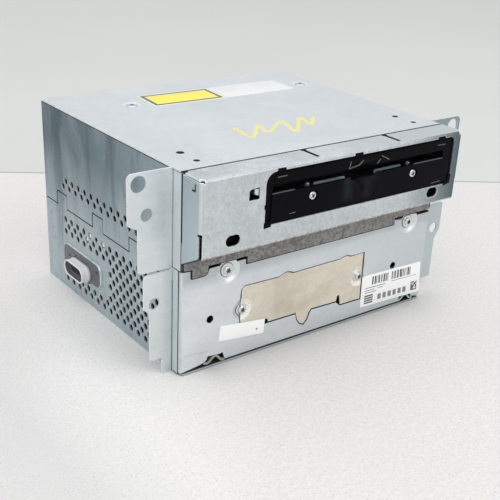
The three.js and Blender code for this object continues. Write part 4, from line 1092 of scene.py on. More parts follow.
def on_dish(x, z):
    return any(math.hypot(x - a, z - b) < 10 for a, b in PLATE_SCREWS) or any(math.hypot(x - a, z - b) < 7 for a, b in COVER_SCREWS)


o = [(-90.2, 2.0), (-88.6, 1.9), (-80.5, 2.3), (-75.5, 3.0), (-72.8, 4.2), (-71.9, 5.4), (-71.7, 7.0, 0.4), (-63.5, 6.2), (-61.9, 6.9, 0.4), (-60.2, 2.2),
     (69.6, 2.2), (71.0, 3.2), (71.0, 6.0), (81.4, 6.8), (81.6, 3.0, 0.8), (86.0, 2.2), (90.2, 2.0), (90.2, 58.6),
     (87.2, 58.2), (77.8, 58.2), (77.3, 59.4, 0.3), (67.2, 59.4, 0.5), (66.7, 58.2), (59.7, 58.2, 0.6), (59.7, 55.0, 0.6), (-48.5, 55.0, 0.6), (-48.5, 58.2, 0.8), (-54.6, 58.2), (-55.1, 59.5, 0.3), (-64.8, 59.5, 0.5), (-65.4, 58.2), (-72.0, 58.2, 1.6), (-72.0, 54.3, 3), (-82.9, 54.3, 1),
     (-82.9, 59.0), (-87.2, 59.6), (-90.2, 59.85)]
grown = offset(ccw([p for p in COVER if not (17.0 < p[1] < 20.0)]), 0.5)
hol = [grown, circle(-70.8, 29.0, 2.0, 20), circle(61.9, 28.7, 2.0, 20), circle(*PLATE_SCREWS[0], 1.7, 16), circle(*PLATE_SCREWS[1], 1.7, 16)]
pts = [p for c in PLATE_SCREWS for p in ring_points(*c, (3.2, 4.2, 4.6, 5.0, 5.4, 5.8, 6.2, 6.6, 7.0, 7.4, 8.0), 36)]
pts += [p for c in COVER_SCREWS for p in ring_points(*c, (3.0, 3.5, 3.9, 4.3, 4.7, 5.1, 5.5, 5.9, 6.3, 6.8, 7.3), 32)]
pts += ring_points(61.9, 28.7, (2.1, 2.6, 3.0, 3.5, 4.0, 4.5), 24)
pts += [(x, z) for z in (46.5, 50.0, 51.2, 51.8, 52.4, 53.0, 53.6, 54.2) for x in np.arange(-86, 86.5, 1.4) if not on_dish(x, z)]
pts += [(x, z) for x in (-86.2, -85.6, -85.0, -84.4, -83.8, -83.3, -71.6, -71.0, -70.4, -69.8) for z in np.arange(51.2, 59, 0.9) if not on_dish(x, z)]
pts += [(s, z) for s in (-51.5, -50.9, -50.3, -49.7, -49.1, 60.3, 60.9, 61.5, 62.1) for z in np.arange(51.4, 59, 0.9) if not on_dish(s, z)]
pts += [(x, 9.0) for x in np.arange(-86, 86.5, 2.0) if x > -72] + [(x, 30.0) for x in (-86.6, 86.6)]
pts += [(x, crease(x) + d) for x in np.arange(-86.2, -72.2, 1.2) for d in (-0.7, -0.4, -0.15, 0.15, 0.4, 0.7)]
pts += [(-56.2 + 19.1 * t, 10.7 - 0.7 * t + d) for t in np.arange(0.0, 1.001, 0.05) for d in (-0.5, -0.3, 0.0, 0.3, 0.5)]
bm = sheet(rounded(o, 6), hol, 1.0, 0.18, 0.12, pts, plate_form, cuts_u=[s * (87.4 + d) for s in (-1, 1) for d in HP2.stations(6)])


def plate_map(u, v, w):
    if abs(u) > 87.4:
        p = HP2.at(abs(u) - 87.4, w)
        return (math.copysign(p.x, u), p.y, v)
    return (u, w, v)


place(bm, plate_map)
o = weighted(finish_mesh(bm, "front_plate", "chassis", ["lower_front_plate"], [FRONT, HOLE_SHADE], edge=EDGE_HIGHLIGHT, back=INSIDE_SHADE))
for mat in (BEND, RECESS_SHADE, DISH_HIGHLIGHT):
    o.data.materials.append(mat)
for p in o.data.polygons:
    x, z = p.center.x * 1000, p.center.z * 1000
    # painted shade on rims under the bezel, in the two round holes and around the access cover
    if p.material_index == 2 and (z > 52.0 or math.hypot(x + 70.8, z - 29.0) < 3 or math.hypot(x - 61.9, z - 28.7) < 3 or -52.5 < x < 38.5 and 7.0 < z < 45.0):
        p.material_index = 1
    elif p.material_index == 0 and 88.0 < -x < 88.97:
        p.material_index = 4
    # painted shade under the screws' washers, then painted highlight on the dish walls around them
    elif p.material_index == 0 and any(math.hypot(x - a, z - b) < r for (a, b), r in zip(PLATE_SCREWS + COVER_SCREWS, (4.3, 4.3, 3.9, 3.9))):
        p.material_index = 5
    elif p.material_index == 0 and any(math.hypot(x - a, z - b) < r for (a, b), r in zip(PLATE_SCREWS + COVER_SCREWS, (7.0, 7.0, 6.5, 6.5))):
        p.material_index = 6


def cover_form(x, z):
    w = 0.0
    for cx, cz in COVER_SCREWS:
        w = max(w, 1.08 * (1 - smooth((math.hypot(x - cx, z - cz) - 3.6) / 3.2)))
    return w


left_half = [(-50.0 + 1.9 * math.cos(a), 29.0 + 1.9 * math.sin(a)) for a in np.linspace(PI * 0.60, -PI * 0.60, 11)]
o = COVER[:2] + [(-50.6, 35.9), (-51.0, 35.4), (-51.0, left_half[0][1])] + left_half + [(-51.0, left_half[-1][1]), (-51.0, 22.4), (-50.6, 22.0)] + COVER[2:]
pts = [p for c in COVER_SCREWS for p in ring_points(*c, (2.6, 3.1, 3.6, 4.0, 4.4, 4.8, 5.2, 5.6, 6.0, 6.4, 6.9), 32)]
bm = sheet(o, [circle(*COVER_SCREWS[1], 1.9, 18)], 0.6, 0.12, 0.1, pts, cover_form)
place(bm, lambda u, v, w: (u, 0.22 + w, v))
o = weighted(finish_mesh(bm, "access_cover", "chassis", ["hdd_access_cover"], [TAN, TAN_DISH_HIGHLIGHT], edge=EDGE_HIGHLIGHT, back=INSIDE_SHADE))
# painted highlight on the dish walls around the cover's screws
for p in o.data.polygons:
    if p.material_index == 0 and min(math.hypot(p.center.x * 1000 - a, p.center.z * 1000 - b) for a, b in COVER_SCREWS) < 6.3:
        p.material_index = 1

# springs in the plate's two foot cut-outs
def ribbon_xz(points, thick, y0, y1, name, mat):
    left = [Vector(p) for p in points]
    up, dn = [], []
    for i, p in enumerate(left):
        d = (left[min(i + 1, len(left) - 1)] - left[max(i - 1, 0)]).normalized()
        up.append((p.x - d.y * thick / 2, p.y + d.x * thick / 2))
        dn.append((p.x + d.y * thick / 2, p.y - d.x * thick / 2))
    bm = prism(dn + up[::-1], y0, y1, "xz", 0.08)
    return weighted(finish_mesh(bm, name, "chassis", (), [mat]))


def curve_points(ctrl, n=6):
    """Catmull-Rom through 2-D points."""
    c = [Vector(p) for p in ctrl]
    c = [c[0] * 2 - c[1]] + c + [c[-1] * 2 - c[-2]]
    out = []
    for i in range(1, len(c) - 2):
        for k in range(n):
            t = k / n
            p0, p1, p2, p3 = c[i - 1], c[i], c[i + 1], c[i + 2]
            out.append(0.5 * ((2 * p1) + (-p0 + p2) * t + (2 * p0 - 5 * p1 + 4 * p2 - p3) * t * t + (-p0 + 3 * p1 - 3 * p2 + p3) * t ** 3))
    out.append(c[-2])
    return [(p.x, p.y) for p in out]


ribbon_xz(curve_points([(-74.0, 3.2), (-71.6, 2.7), (-69.9, 3.4), (-68.0, 5.2), (-66.0, 5.6), (-64.2, 4.2), (-62.6, 2.4), (-60.4, 1.9)]), 1.2, 0.25, 1.4, "foot_spring_left", OLIVE)
ribbon_xz(curve_points([(69.0, 2.9), (71.6, 2.6), (73.4, 3.4), (75.4, 5.1), (77.4, 5.2), (79.0, 3.8), (80.6, 2.2), (83.0, 1.9)]), 1.0, 0.25, 1.7, "foot_spring_right", STRIP)

# ------------------------------------------------------------------ slot fascia
F_OUT = [(-50.6, 82.6, 0.8), (82.5, 82.6, 1.6), (82.5, 109.5, 3.4), (-50.6, 109.5, 6.3)]
SLOT = [(-46.4, 98.3, 0.8), (75.4, 98.3, 0.8), (75.4, 102.6, 1.2), (-46.4, 102.6, 1.2)]


def ellipsoid(cx, cy, cz, rx, ry, rz, seg=48, rings=24):
    bm = bmesh.new()
    bmesh.ops.create_uvsphere(bm, u_segments=seg, v_segments=rings, radius=1.0)
    for v in bm.verts:
        v.co = Vector((cx + v.co.x * rx, cy + v.co.y * ry, cz + v.co.z * rz))
    return bm


base = prism(rounded(F_OUT, 7), -15.25, -13.4, "xz", c0=0.25, c1=0.05)
back = prism(rect(-52.9, 80.6, 84.5, 110.8, 2.0), -14.8, -12.0, "xz", c0=0.2, c1=0.2)
panel = prism(rounded([(-47.2, 83.5, 0.8), (80.6, 83.5, 0.8), (80.6, 96.2, 0.8), (77.2, 98.2, 0.8), (-46.8, 98.2, 0.6)], 5), -15.9, -14.2, "xz", c0=0.28, c1=0.05)
bar = prism(rounded([(-45.0, 103.3, 0.8), (76.8, 103.3, 0.8), (79.6, 106.4, 1.5), (78.6, 108.9, 1.6), (-43.2, 108.9, 1.8), (-46.2, 106.2, 1.8)], 5), -15.62, -14.2, "xz", c0=0.22, c1=0.05)
ledge = prism(rounded([(-41.5, 105.1, 0.6), (-7.0, 105.1, 0.6), (-4.6, 103.9, 0.4), (37.0, 103.9, 0.4), (39.4, 105.1, 0.6), (75.0, 105.1, 0.6), (76.4, 108.5, 0.8), (-40.4, 108.5, 0.8)], 4), -15.86, -15.0, "xz", c0=0.18, c1=0.05)
parts = [back, panel, bar, ledge]
for a, b in ((-43.9, -39.2), (7.0, 12.2), (69.8, 75.0)):
    parts.append(prism(rect(a, 108.9, b, 110.75, 0.4), -16.32, -14.2, "xz", c0=0.3, c1=0.05))
parts.append(prism(rounded([(-51.4, 80.9, 0.3), (-47.0, 81.3, 0.5), (-46.4, 84.2, 0.6), (-51.4, 84.2, 0.3)], 4), -16.35, -14.2, "xz", c0=0.25, c1=0.05))
parts.append(prism(rounded([(78.0, 81.2, 0.4), (83.2, 82.3, 0.6), (83.6, 87.6, 0.6), (81.4, 87.6, 0.6), (80.8, 84.4, 0.6), (78.0, 83.6, 0.4)], 4), -16.35, -14.2, "xz", c0=0.25, c1=0.05))
# ribs either side of the finger relief
for x, lean in ((-3.0, 3.0), (29.5, -3.0)):
    parts.append(prism([(x - 0.5, 97.9), (x - 0.5 + lean, 89.4), (x + 0.7 + lean, 89.4), (x + 0.7, 97.9)], -16.0, -14.4, "xz", c0=0.2, c1=0.02))
parts.append(prism(rect(-76.5, 74.8, 76.5, 82.0, 1.5), -12.9, -11.6, "xz", 0.2))
solid = boolean(base, parts, "UNION")
cutters = [prism(rounded(SLOT, 5), -20.0, -8.0, "xz", 0.01), ellipsoid(14.5, -20.6, 98.4, 22.0, 6.2, 13.0), ellipsoid(14.5, -21.0, 104.0, 19.0, 6.4, 4.4),
           block(-46.9, -14.95, 96.3, 75.9, -8.0, 103.6)]
for x in (-20.1, 52.1):
    cutters += [turned([(0, -18.5), (1.6, -18.5), (1.6, -10), (0, -10)], 24, "y", x, 0, 92.75), turned([(0, -19), (3.2, -19), (3.2, -15.55), (2.7, -15.1), (0, -15.1)], 32, "y", x, 0, 92.75)]
solid = boolean(solid, cutters)
weighted(finish_mesh(solid, "fascia", "chassis", ["slot_fascia"], [FASCIA], 28.0))


def bar_between(x0, z0, x1, z1, thick, y0, y1):
    """A thin raised line from one point of the fascia's face to another."""
    a, b = Vector((x0, z0)), Vector((x1, z1))
    d = (b - a).normalized()
    n = Vector((-d.y, d.x)) * (thick / 2)
    return prism([tuple(a + n), tuple(a - n), tuple(b - n), tuple(b + n)], y0, y1, "xz", c0=min(0.1, thick * 0.3), c1=0.01)


# raised lines painted lighter than the fascia: painted highlights on the slot's lower lip, the moulded chevrons and
# short edges elsewhere
HIGHLIGHT_LINES = [(-43.95, 106.56, -37.96, 106.64, 0.45, -15.98, -15.4), (69.7, 106.4, 75.6, 106.3, 0.45, -15.98, -15.4),
         (-35.3, 85.95, -31.2, 86.1, 0.4, -16.0, -15.6), (67.95, 84.4, 75.15, 84.8, 0.4, -16.0, -15.6),
         (-46.6, 98.35, -32.75, 98.4, 0.35, -15.99, -15.1), (52.0, 98.3, 75.0, 98.35, 0.35, -15.99, -15.1),
         (4.4, 107.1, 3.4, 103.2, 0.5, -15.98, -15.1), (10.6, 104.3, 13.3, 106.6, 0.5, -15.98, -15.1), (3.6, 103.3, 10.6, 104.3, 0.4, -15.98, -15.1),
         (26.3, 107.0, 32.3, 104.0, 0.5, -15.98, -15.1), (25.6, 105.35, 23.6, 103.0, 0.5, -15.98, -15.1)]
finish_mesh(merge(*[bar_between(*m_) for m_ in HIGHLIGHT_LINES]), "fascia_marks", "chassis", (), [LINE_HIGHLIGHT])

# what shows through the slot: guide strips on the deck's front edge and two pins
for x0, x1, tag in ((-15.7, 5.6, "left"), (27.0, 47.0, "right")):
    bm = prism(rect(x0, 90.2, x1, 97.6, 0.8), -10.7, -9.9, "xz", 0.12)
    weighted(finish_mesh(bm, "guide_strip_" + tag, "chassis", (), [STRIP]))
for x, tag in ((-21.2, "left"), (51.0, "right")):
    bm = turned([(0, 91.2), (1.3, 91.2), (1.3, 98.4), (0.9, 98.8), (0, 98.9)], 20, "z", x, -11.6, 0)
    weighted(finish_mesh(bm, "slot_pin_" + tag, "chassis", (), [ALU]))

# ------------------------------------------------------------------ screws


def star(n, r0, r1, seg=5):
    out = []
    for i in range(n * 2 * seg):
        a = 2 * PI * i / (n * 2 * seg)
        out.append(((r0 + r1) / 2 + (r1 - r0) / 2 * math.cos(n * a), a))
    return [(r * math.cos(a), r * math.sin(a)) for r, a in out]


def cross(w, l):
    a, b = w / 2, l / 2
    return [(-a, -b), (a, -b), (a, -a), (b, -a), (b, a), (a, a), (a, b), (-a, b), (-a, a), (-b, a), (-b, -a), (-a, -a)]


def screw_front(name, node, x, z, y0, rh, hh, rs, length, recess, deep, turn=0.0, washer=None):
    prof = [(0, y0), (rh * 0.45, y0 + 0.02 * hh), (rh * 0.72, y0 + 0.10 * hh), (rh * 0.9, y0 + 0.28 * hh), (rh, y0 + 0.55 * hh), (rh, y0 + hh * 0.92)]
    if washer:
        rw, tw = washer
        prof += [(rw - 0.15, y0 + hh - tw), (rw, y0 + hh - tw + 0.12), (rw, y0 + hh)]
        prof[5] = (rh, y0 + hh - tw)
    else:
        prof += [(rh * 0.96, y0 + hh)]
    prof += [(rs, y0 + hh), (rs, y0 + hh + 0.4)]
    n = int((length - hh - 1.2) / 0.7)
    for k in range(n):   # thread
        a = y0 + hh + 0.6 + 0.7 * k
        prof += [(rs - 0.22, a), (rs, a + 0.35)]
    prof += [(rs - 0.3, y0 + length), (0, y0 + length)]
    bm = turned(prof, 36, "y", x, 0, z)
    c, s = math.cos(turn), math.sin(turn)
    shape = [(x + p * c - q * s, z + p * s + q * c) for p, q in recess]
    bm = boolean(bm, [prism(shape, y0 - 1.0, y0 + deep, "xz", 0.01)])
    o = weighted(finish_mesh(bm, name, "chassis", [node], [SCREW, RECESS_SHADE], 26.0))
    reach = max(math.hypot(p, q) for p, q in recess) + 0.05
    # painted shade in the screw's drive recess
    for p in o.data.polygons:
        at = p.center * 1000
        if math.hypot(at.x - x, at.z - z) < reach and y0 + 0.2 < at.y + YC < y0 + deep + 0.05:
            p.material_index = 1


screw_front("fascia_screw_a", "fascia_screw_left", -20.1, 92.75, -16.0, 2.15, 0.95, 1.25, 8, cross(0.8, 2.7), 0.85, turn=0.5)
screw_front("fascia_screw_b", "fascia_screw_right", 52.1, 92.75, -16.0, 2.15, 0.95, 1.25, 8, cross(0.8, 2.7), 0.85, turn=0.2)
screw_front("plate_screw_a", "plate_screw_left", -60.05, 54.2, -0.2, 2.45, 1.75, 1.35, 8, star(6, 1.0, 1.6), 1.2, washer=(3.7, 0.5))
screw_front("plate_screw_b", "plate_screw_right", 71.3, 54.8, -0.2, 2.45, 1.75, 1.35, 8, star(6, 1.0, 1.6), 1.2, turn=0.3, washer=(3.7, 0.5))
screw_front("cover_screw_a", "cover_screw_left", -50.0, 29.0, -0.5, 2.3, 1.75, 1.2, 7, star(6, 0.9, 1.45), 1.1, turn=0.2, washer=(3.5, 0.5))
screw_front("cover_screw_b", "cover_screw_right", 34.2, 28.1, -0.5, 2.3, 1.75, 1.2, 7, star(6, 0.9, 1.45), 1.1, turn=0.5, washer=(3.5, 0.5))
for (cx, cy), tag in zip(SEATS, ("left", "right")):
    prof = [(0, 104.5), (1.0, 104.5), (1.3, 105.0), (1.3, 111.0), (3.3, 111.25), (3.35, 111.6), (3.1, 111.9), (2.4, 112.08), (1.2, 112.15), (0, 112.15)]
    bm = boolean(turned(prof, 36, "z", cx, cy, 0), [place(sheet([(cx + p, cy + q) for p, q in star(6, 1.1, 1.6)], (), 4.0, 0.01, 0.01), lambda u, v, w: (u, v, 111.2 + w))])
    weighted(finish_mesh(bm, "lid_screw_" + tag, "chassis", ["top_screw_" + tag], [SCREW], 26.0))

# ------------------------------------------------------------------ port on the left side
pts = []
hol = [rect(94.3, 15.1, 118.0, 25.7, 5.2, 10), circle(120.2, 24.8, 0.75, 14), circle(86.6, 25.9, 0.75, 14), circle(112.2, 27.0, 0.5, 12), circle(98.6, 27.0, 0.4, 12)]
PORT_DIMPLES = ((106.0, 28.6), (88.2, 20.6), (123.0, 18.4))


def flange_form(y, z):
    w = 0.0
    for a, b in PORT_DIMPLES:
        w += 0.25 * (1 - smooth(math.hypot(y - a, z - b) / 0.95))
    return w


pts = [p for c in PORT_DIMPLES for p in ring_points(*c, (0.3, 0.6, 0.95, 1.2), 10)]
bm = sheet(rounded([(82.3, 16.2, 5), (92.2, 16.2, 3), (97.0, 14.0, 3), (127.8, 14.0, 5), (127.8, 31.0, 5), (82.3, 31.0, 5)], 8), hol, 1.35, 0.3, 0.02, pts, flange_form)
place(bm, lambda u, v, w: (-90.4 + w, u, v))
weighted(finish_mesh(bm, "port_plate", "chassis", ["side_port_flange"], [FLANGE], edge=EDGE_HIGHLIGHT, bore=HOLE_SHADE))


def loop_at(inset, x, cy=106.15, cz=20.4, w=23.1, h=10.0, r=4.9, dz=0.0):
    loop = rect(cy - w / 2 + inset, cz - h / 2 + inset, cy + w / 2 - inset, cz + h / 2 - inset, max(0.6, r - inset), 9)
    return [(x, y, z + dz) for y, z in loop]


def loft(loops, close=True):
    bm = bmesh.new()
    rings = [[bm.verts.new(p) for p in loop] for loop in loops]
    pairs = list(zip(rings, rings[1:])) + ([(rings[-1], rings[0])] if close else [])
    for a, b in pairs:
        n = len(a)
        for i in range(n):
            j = (i + 1) % n
            bm.faces.new((a[i], a[j], b[j], b[i]))
    return bm


# a tube with a rounded lip, an outer collar and a stepped bore, over a floor with a slot and two ribs
tube = loft([loop_at(1.75, -86.5), loop_at(0.0, -86.5), loop_at(0.0, -90.6), loop_at(-0.3, -91.0), loop_at(-0.3, -91.6), loop_at(0.05, -92.0), loop_at(0.1, -94.4),
             loop_at(0.0, -95.3), loop_at(0.2, -95.75), loop_at(0.5, -95.9), loop_at(0.8, -95.75), loop_at(1.0, -95.3), loop_at(1.05, -93.0), loop_at(1.75, -92.4), loop_at(1.75, -88.2)])
ribs = [prism([(y - 0.4, 16.9), (y + 0.4, 16.9), (y + 0.4, 23.9), (y - 0.4, 23.9)], -90.6, -86.9, "yz", 0.1) for y in (100.6, 111.6)]
ribs.append(prism([(111.8, 21.6), (116.3, 21.6), (116.3, 22.3), (111.8, 22.3)], -92.3, -86.9, "yz", 0.1))
o = weighted(finish_mesh(boolean(tube, ribs, "UNION"), "port_spigot", "chassis", ["side_port_spigot"], [PORT, PORT_BORE_SHADE], 40.0))
# painted shade on the bore's faces deep inside
for p in o.data.polygons:
    c = p.center * 1000
    if c.x > -95.25 and math.hypot(max(abs(c.y + YC - 106.15) - 6.65, 0), max(abs(c.z - 20.4) - 0.1, 0)) < 4.9 - 0.85:
        p.material_index = 1
bm = prism(rect(96.0, 16.8, 116.3, 24.0, 3.4, 8), -88.9, -86.7, "yz", 0.1, holes=[rect(102.0, 21.4, 115.0, 23.2, 0.6)])
weighted(finish_mesh(bm, "port_floor", "chassis", (), [PORTFLOOR]))

# ------------------------------------------------------------------ labels and crayon


def quad_inset(q, d):
    return offset(ccw(q), -d)


def flat_on_top(outline, z0, z1, name, mat, replaces=(), c=0.03):
    bm = place(sheet(outline, (), z1 - z0, c, 0.01), lambda u, v, w: (u, v, z1 - w))
    return finish_mesh(bm, name, "chassis", replaces, [mat])


YQ = [(-38.7, 106.9), (11.2, 105.6), (13.3, 131.0), (-36.4, 132.5)]
WQ = [(11.6, 105.6), (65.3, 106.0), (66.1, 130.4), (13.7, 131.6)]
flat_on_top(quad_inset(YQ, 0.0), 112.22, 112.38, "label_a_sheet", CREAM, ["top_label_yellow"])
flat_on_top(quad_inset(YQ, 1.3), 112.36, 112.41, "label_a_frame", FRAMEINK, (), 0.01)
flat_on_top(quad_inset(YQ, 3.6), 112.39, 112.43, "label_a_line", CREAM, (), 0.01)
flat_on_top(quad_inset(YQ, 4.2), 112.41, 112.45, "label_a_field", YELLOW, (), 0.01)
flat_on_top(quad_inset(WQ, 0.0), 112.22, 112.40, "label_b_sheet", PAPERTOP, ["top_label_white"])


def strokes(boxes, name, mat, plane_map, t=0.03):
    bms = [place(sheet(b, (), t, 0.004, 0.004), plane_map) for b in boxes]
    return finish_mesh(merge(*bms), name, "chassis", (), [mat])


def in_quad(q, boxes):
    """Maps unit-square rectangles into a four-cornered label."""
    a, b, c, d = [Vector(p) for p in q]
    out = []
    for x0, y0, x1, y1 in boxes:
        pts_ = []
        for s, t in ((x0, y0), (x1, y0), (x1, y1), (x0, y1)):
            p = (a * (1 - s) + b * s) * (1 - t) + (d * (1 - s) + c * s) * t
            pts_.append((p.x, p.y))
        out.append(pts_)
    return out


rng = random.Random(11)
BQ = [(37.7, 6.7), (88.3, 5.0), (86.3, 25.7), (37.3, 27.1)]
NQ = [(-65.0, 14.1), (-35.0, 10.8), (-34.3, 19.4), (-64.1, 22.9)]
bm = prism(rounded([(*BQ[0], 0.8), (*BQ[1], 0.8), (*BQ[2], 0.8), (*BQ[3], 0.8)], 4), -0.22, -0.02, "xz", c0=0.04, c1=0.01)
finish_mesh(bm, "label_c_sheet", "chassis", ["front_label_bars"], [PAPER])
bm = prism(rounded([(*NQ[0], 0.5), (*NQ[1], 0.5), (*NQ[2], 0.5), (*NQ[3], 0.5)], 4), -0.22, -0.02, "xz", c0=0.04, c1=0.01)
finish_mesh(bm, "label_d_sheet", "chassis", ["front_label_blank"], [PAPER])
bars, x = [], 0.17
groups = ((0.17, 0.30), (0.32, 0.47), (0.50, 0.62), (0.64, 0.84))
for g0, g1 in groups:
    x = g0
    while x < g1 - 0.012:
        w = rng.choice((0.006, 0.010, 0.016, 0.022))
        bars.append((x, 0.66, min(x + w, g1), 0.92))
        x += w + rng.choice((0.006, 0.009, 0.013, 0.018))
rules = [(0.06, 0.57, 0.40, 0.590), (0.50, 0.60, 0.93, 0.612), (0.06, 0.49, 0.22, 0.508), (0.27, 0.50, 0.36, 0.515), (0.06, 0.42, 0.25, 0.437)]
for k in range(4):
    rules.append((0.06, 0.30 - 0.075 * k, 0.20, 0.345 - 0.075 * k))
blocks = [(0.28 + 0.085 * k, 0.12, 0.28 + 0.085 * k + 0.055, 0.30) for k in range(6)]
mosaic = []
for i in range(7):
    for j in range(7):
        if rng.random() < 0.55 or i == 0 or j == 0:
            s = 0.105 / 7
            mosaic.append((0.845 + i * s, 0.10 + j * 0.30 / 7, 0.845 + (i + 1) * s - 0.0015, 0.10 + (j + 1) * 0.30 / 7 - 0.004))
strokes(in_quad(BQ, bars + rules + mosaic), "label_c_bars", INK, lambda u, v, w: (u, -0.222 - 0.03 + w, v))
strokes(in_quad(BQ, blocks), "label_c_blocks", INKGREY, lambda u, v, w: (u, -0.222 - 0.03 + w, v))
strokes(in_quad(NQ, [(0.812, 0.34, 0.848, 0.44)]), "label_d_dot", INK, lambda u, v, w: (u, -0.222 - 0.03 + w, v))
lines = [(0.06 + 0.0, 0.80 - 0.13 * k, 0.30 + 0.18 * rng.random(), 0.815 - 0.13 * k) for k in range(3)] + [(0.60, 0.80 - 0.13 * k, 0.80 + 0.14 * rng.random(), 0.815 - 0.13 * k) for k in range(3)]
strokes(in_quad(WQ, lines), "label_b_rules", FAINT, lambda u, v, w: (u, v, 112.402 + 0.03 - w))


def crayon(line, width, r):
    """One waxy run of a back-and-forth squiggle: a thin ribbon along the line, with ragged sides."""
    left, right_ = [], []
    for i, p in enumerate(line):
        d = (Vector(line[min(i + 1, len(line) - 1)]) - Vector(line[max(i - 1, 0)])).normalized()
        n = Vector((-d.y, d.x))
        c = Vector(p)
        left.append(tuple(c + n * width * r.uniform(0.38, 0.58)))
        right_.append(tuple(c - n * width * r.uniform(0.38, 0.58)))
    return right_ + left[::-1]


rng = random.Random(5)
TURNS = [(-24.1, 49.7), (-25.6, 30.0), (-8.7, 47.4), (-12.0, 33.8), (8.1, 47.5), (2.2, 27.3), (23.1, 49.3), (18.4, 34.5), (31.4, 47.0)]
WAVE = curve_points(TURNS, 12)
STROKES = [crayon(WAVE[12 * k:12 * k + 13], 2.5, rng) for k in range(len(TURNS) - 1)]
bms = [place(sheet(s, (), 0.05, 0.01, 0.005), lambda u, v, w, k=i: (u, v, 112.245 + 0.008 * (k % 2) - w)) for i, s in enumerate(STROKES)]
finish_mesh(merge(*bms), "crayon_strokes", "chassis", (), [CRAYON])

# ------------------------------------------------------------------ rear connectors
shell = prism(rect(-22, 8, 26, 40, 1.2), 145.5, 164.4, "xz", 0.25)
cut_ = [prism(rect(-19.6, 10.4, 23.6, 37.6, 0.8), 152.6, 170.0, "xz", 0.05)]
cut_ += [block(-23, 158.5, 20.0, -21.0, 166.0, 28.0), block(25.0, 158.5, 20.0, 27.0, 166.0, 28.0)]
body = boolean(shell, cut_)
rails = [prism([(x - 0.5, 10.0), (x + 0.5, 10.0), (x + 0.5, 12.6), (x - 0.5, 12.6)], 152.0, 163.6, "xz", 0.05) for x in (-12, -4, 8, 16)]
rails += [prism([(x - 0.5, 35.4), (x + 0.5, 35.4), (x + 0.5, 38.0), (x - 0.5, 38.0)], 152.0, 163.6, "xz", 0.05) for x in (-14, 0, 4, 18)]
rails += [block(1.4, 152.0, 10.0, 2.6, 161.0, 38.0)]
weighted(finish_mesh(boolean(body, rails, "UNION"), "socket_shell", "chassis", ["main_connector"], [BLACK], 28.0))
pins = []
for x in np.arange(-16.5, -1.0, 3.4):
    for z in (15.0, 20.0, 27.0, 33.0):
        pins.append(block(x - 0.45, 152.7, z - 0.45, x + 0.45, 160.5, z + 0.45, 0.15, 1))
for x in np.arange(5.4, 22.0, 2.6):
    for z in (14.6, 18.2, 21.8, 26.0, 29.6, 33.2):
        pins.append(block(x - 0.32, 152.7, z - 0.32, x + 0.32, 160.0, z + 0.32, 0.1, 1))
finish_mesh(merge(*pins), "socket_pins", "chassis", (), [BRASS])
blk = prism(rect(40, 10, 80, 24, 1.5), 145.5, 157.5, "xz", 0.3)
rounds = [turned([(0, 157.0), (4.4, 157.0), (4.4, 158.6), (4.1, 158.9), (4.1, 162.6), (4.4, 162.9), (4.4, 163.9), (4.1, 164.4), (0, 164.4)], 32, "y", x, 0, 17) for x in (45.5, 55.2, 64.9, 74.6)]
solid = boolean(blk, rounds, "UNION")
bores = [turned([(0, 153.5), (3.2, 153.5), (3.2, 163.8), (3.6, 165.0), (0, 165.0)], 28, "y", x, 0, 17) for x in (45.5, 55.2, 64.9, 74.6)]
keys = [block(x - 0.6, 158.0, 20.2, x + 0.6, 165.0, 22.0) for x in (45.5, 64.9)] + [block(x - 0.6, 158.0, 12.0, x + 0.6, 165.0, 13.8) for x in (55.2, 74.6)]
weighted(finish_mesh(boolean(solid, bores + keys), "aerial_block", "chassis", ["coax_connector"], [BLUE], 28.0))
cores = [turned([(0.9, 153.6), (1.9, 153.6), (1.9, 162.2), (1.65, 162.6), (1.3, 162.6), (1.3, 154.6), (0.9, 154.6)], 20, "y", x, 0, 17) for x in (45.5, 55.2, 64.9, 74.6)]
cores += [turned([(0, 153.6), (0.42, 153.6), (0.42, 161.6), (0.2, 162.2), (0, 162.2)], 12, "y", x, 0, 17) for x in (45.5, 55.2, 64.9, 74.6)]
finish_mesh(merge(*cores), "aerial_cores", "chassis", (), [BRASS])

# ------------------------------------------------------------------ fan
hsg = prism(rect(-70, 6, -30, 46, 3.0, 6), 140.0, 150.9, "xz", 0.4, holes=[circle(-50, 26, 19, 56)])
hub = turned([(0, 149.4), (8.6, 149.4), (9.0, 149.8), (9.0, 150.6), (8.7, 150.9), (0, 150.9)], 40, "y", -50, 0, 26)
arms = []
for k in range(4):
    a = math.radians(45 + 90 * k)
    c, s = math.cos(a), math.sin(a)
    o = [(-50 + c * r - s * q, 26 + s * r + c * q) for r, q in ((7, -1.0), (19.6, -0.8), (19.6, 0.8), (7, 1.0))]
    arms.append(prism(o, 149.5, 150.8, "xz", 0.15))
fan_body = boolean(hsg, [hub] + arms, "UNION")
drill = [turned([(0, 139), (1.75, 139), (1.75, 152), (0, 152)], 18, "y", -50 + dx, 0, 26 + dz) for dx in (-16, 16) for dz in (-16, 16)]
weighted(finish_mesh(boolean(fan_body, drill), "fan_frame", "chassis", ["fan_housing"], [BLACK], 28.0))


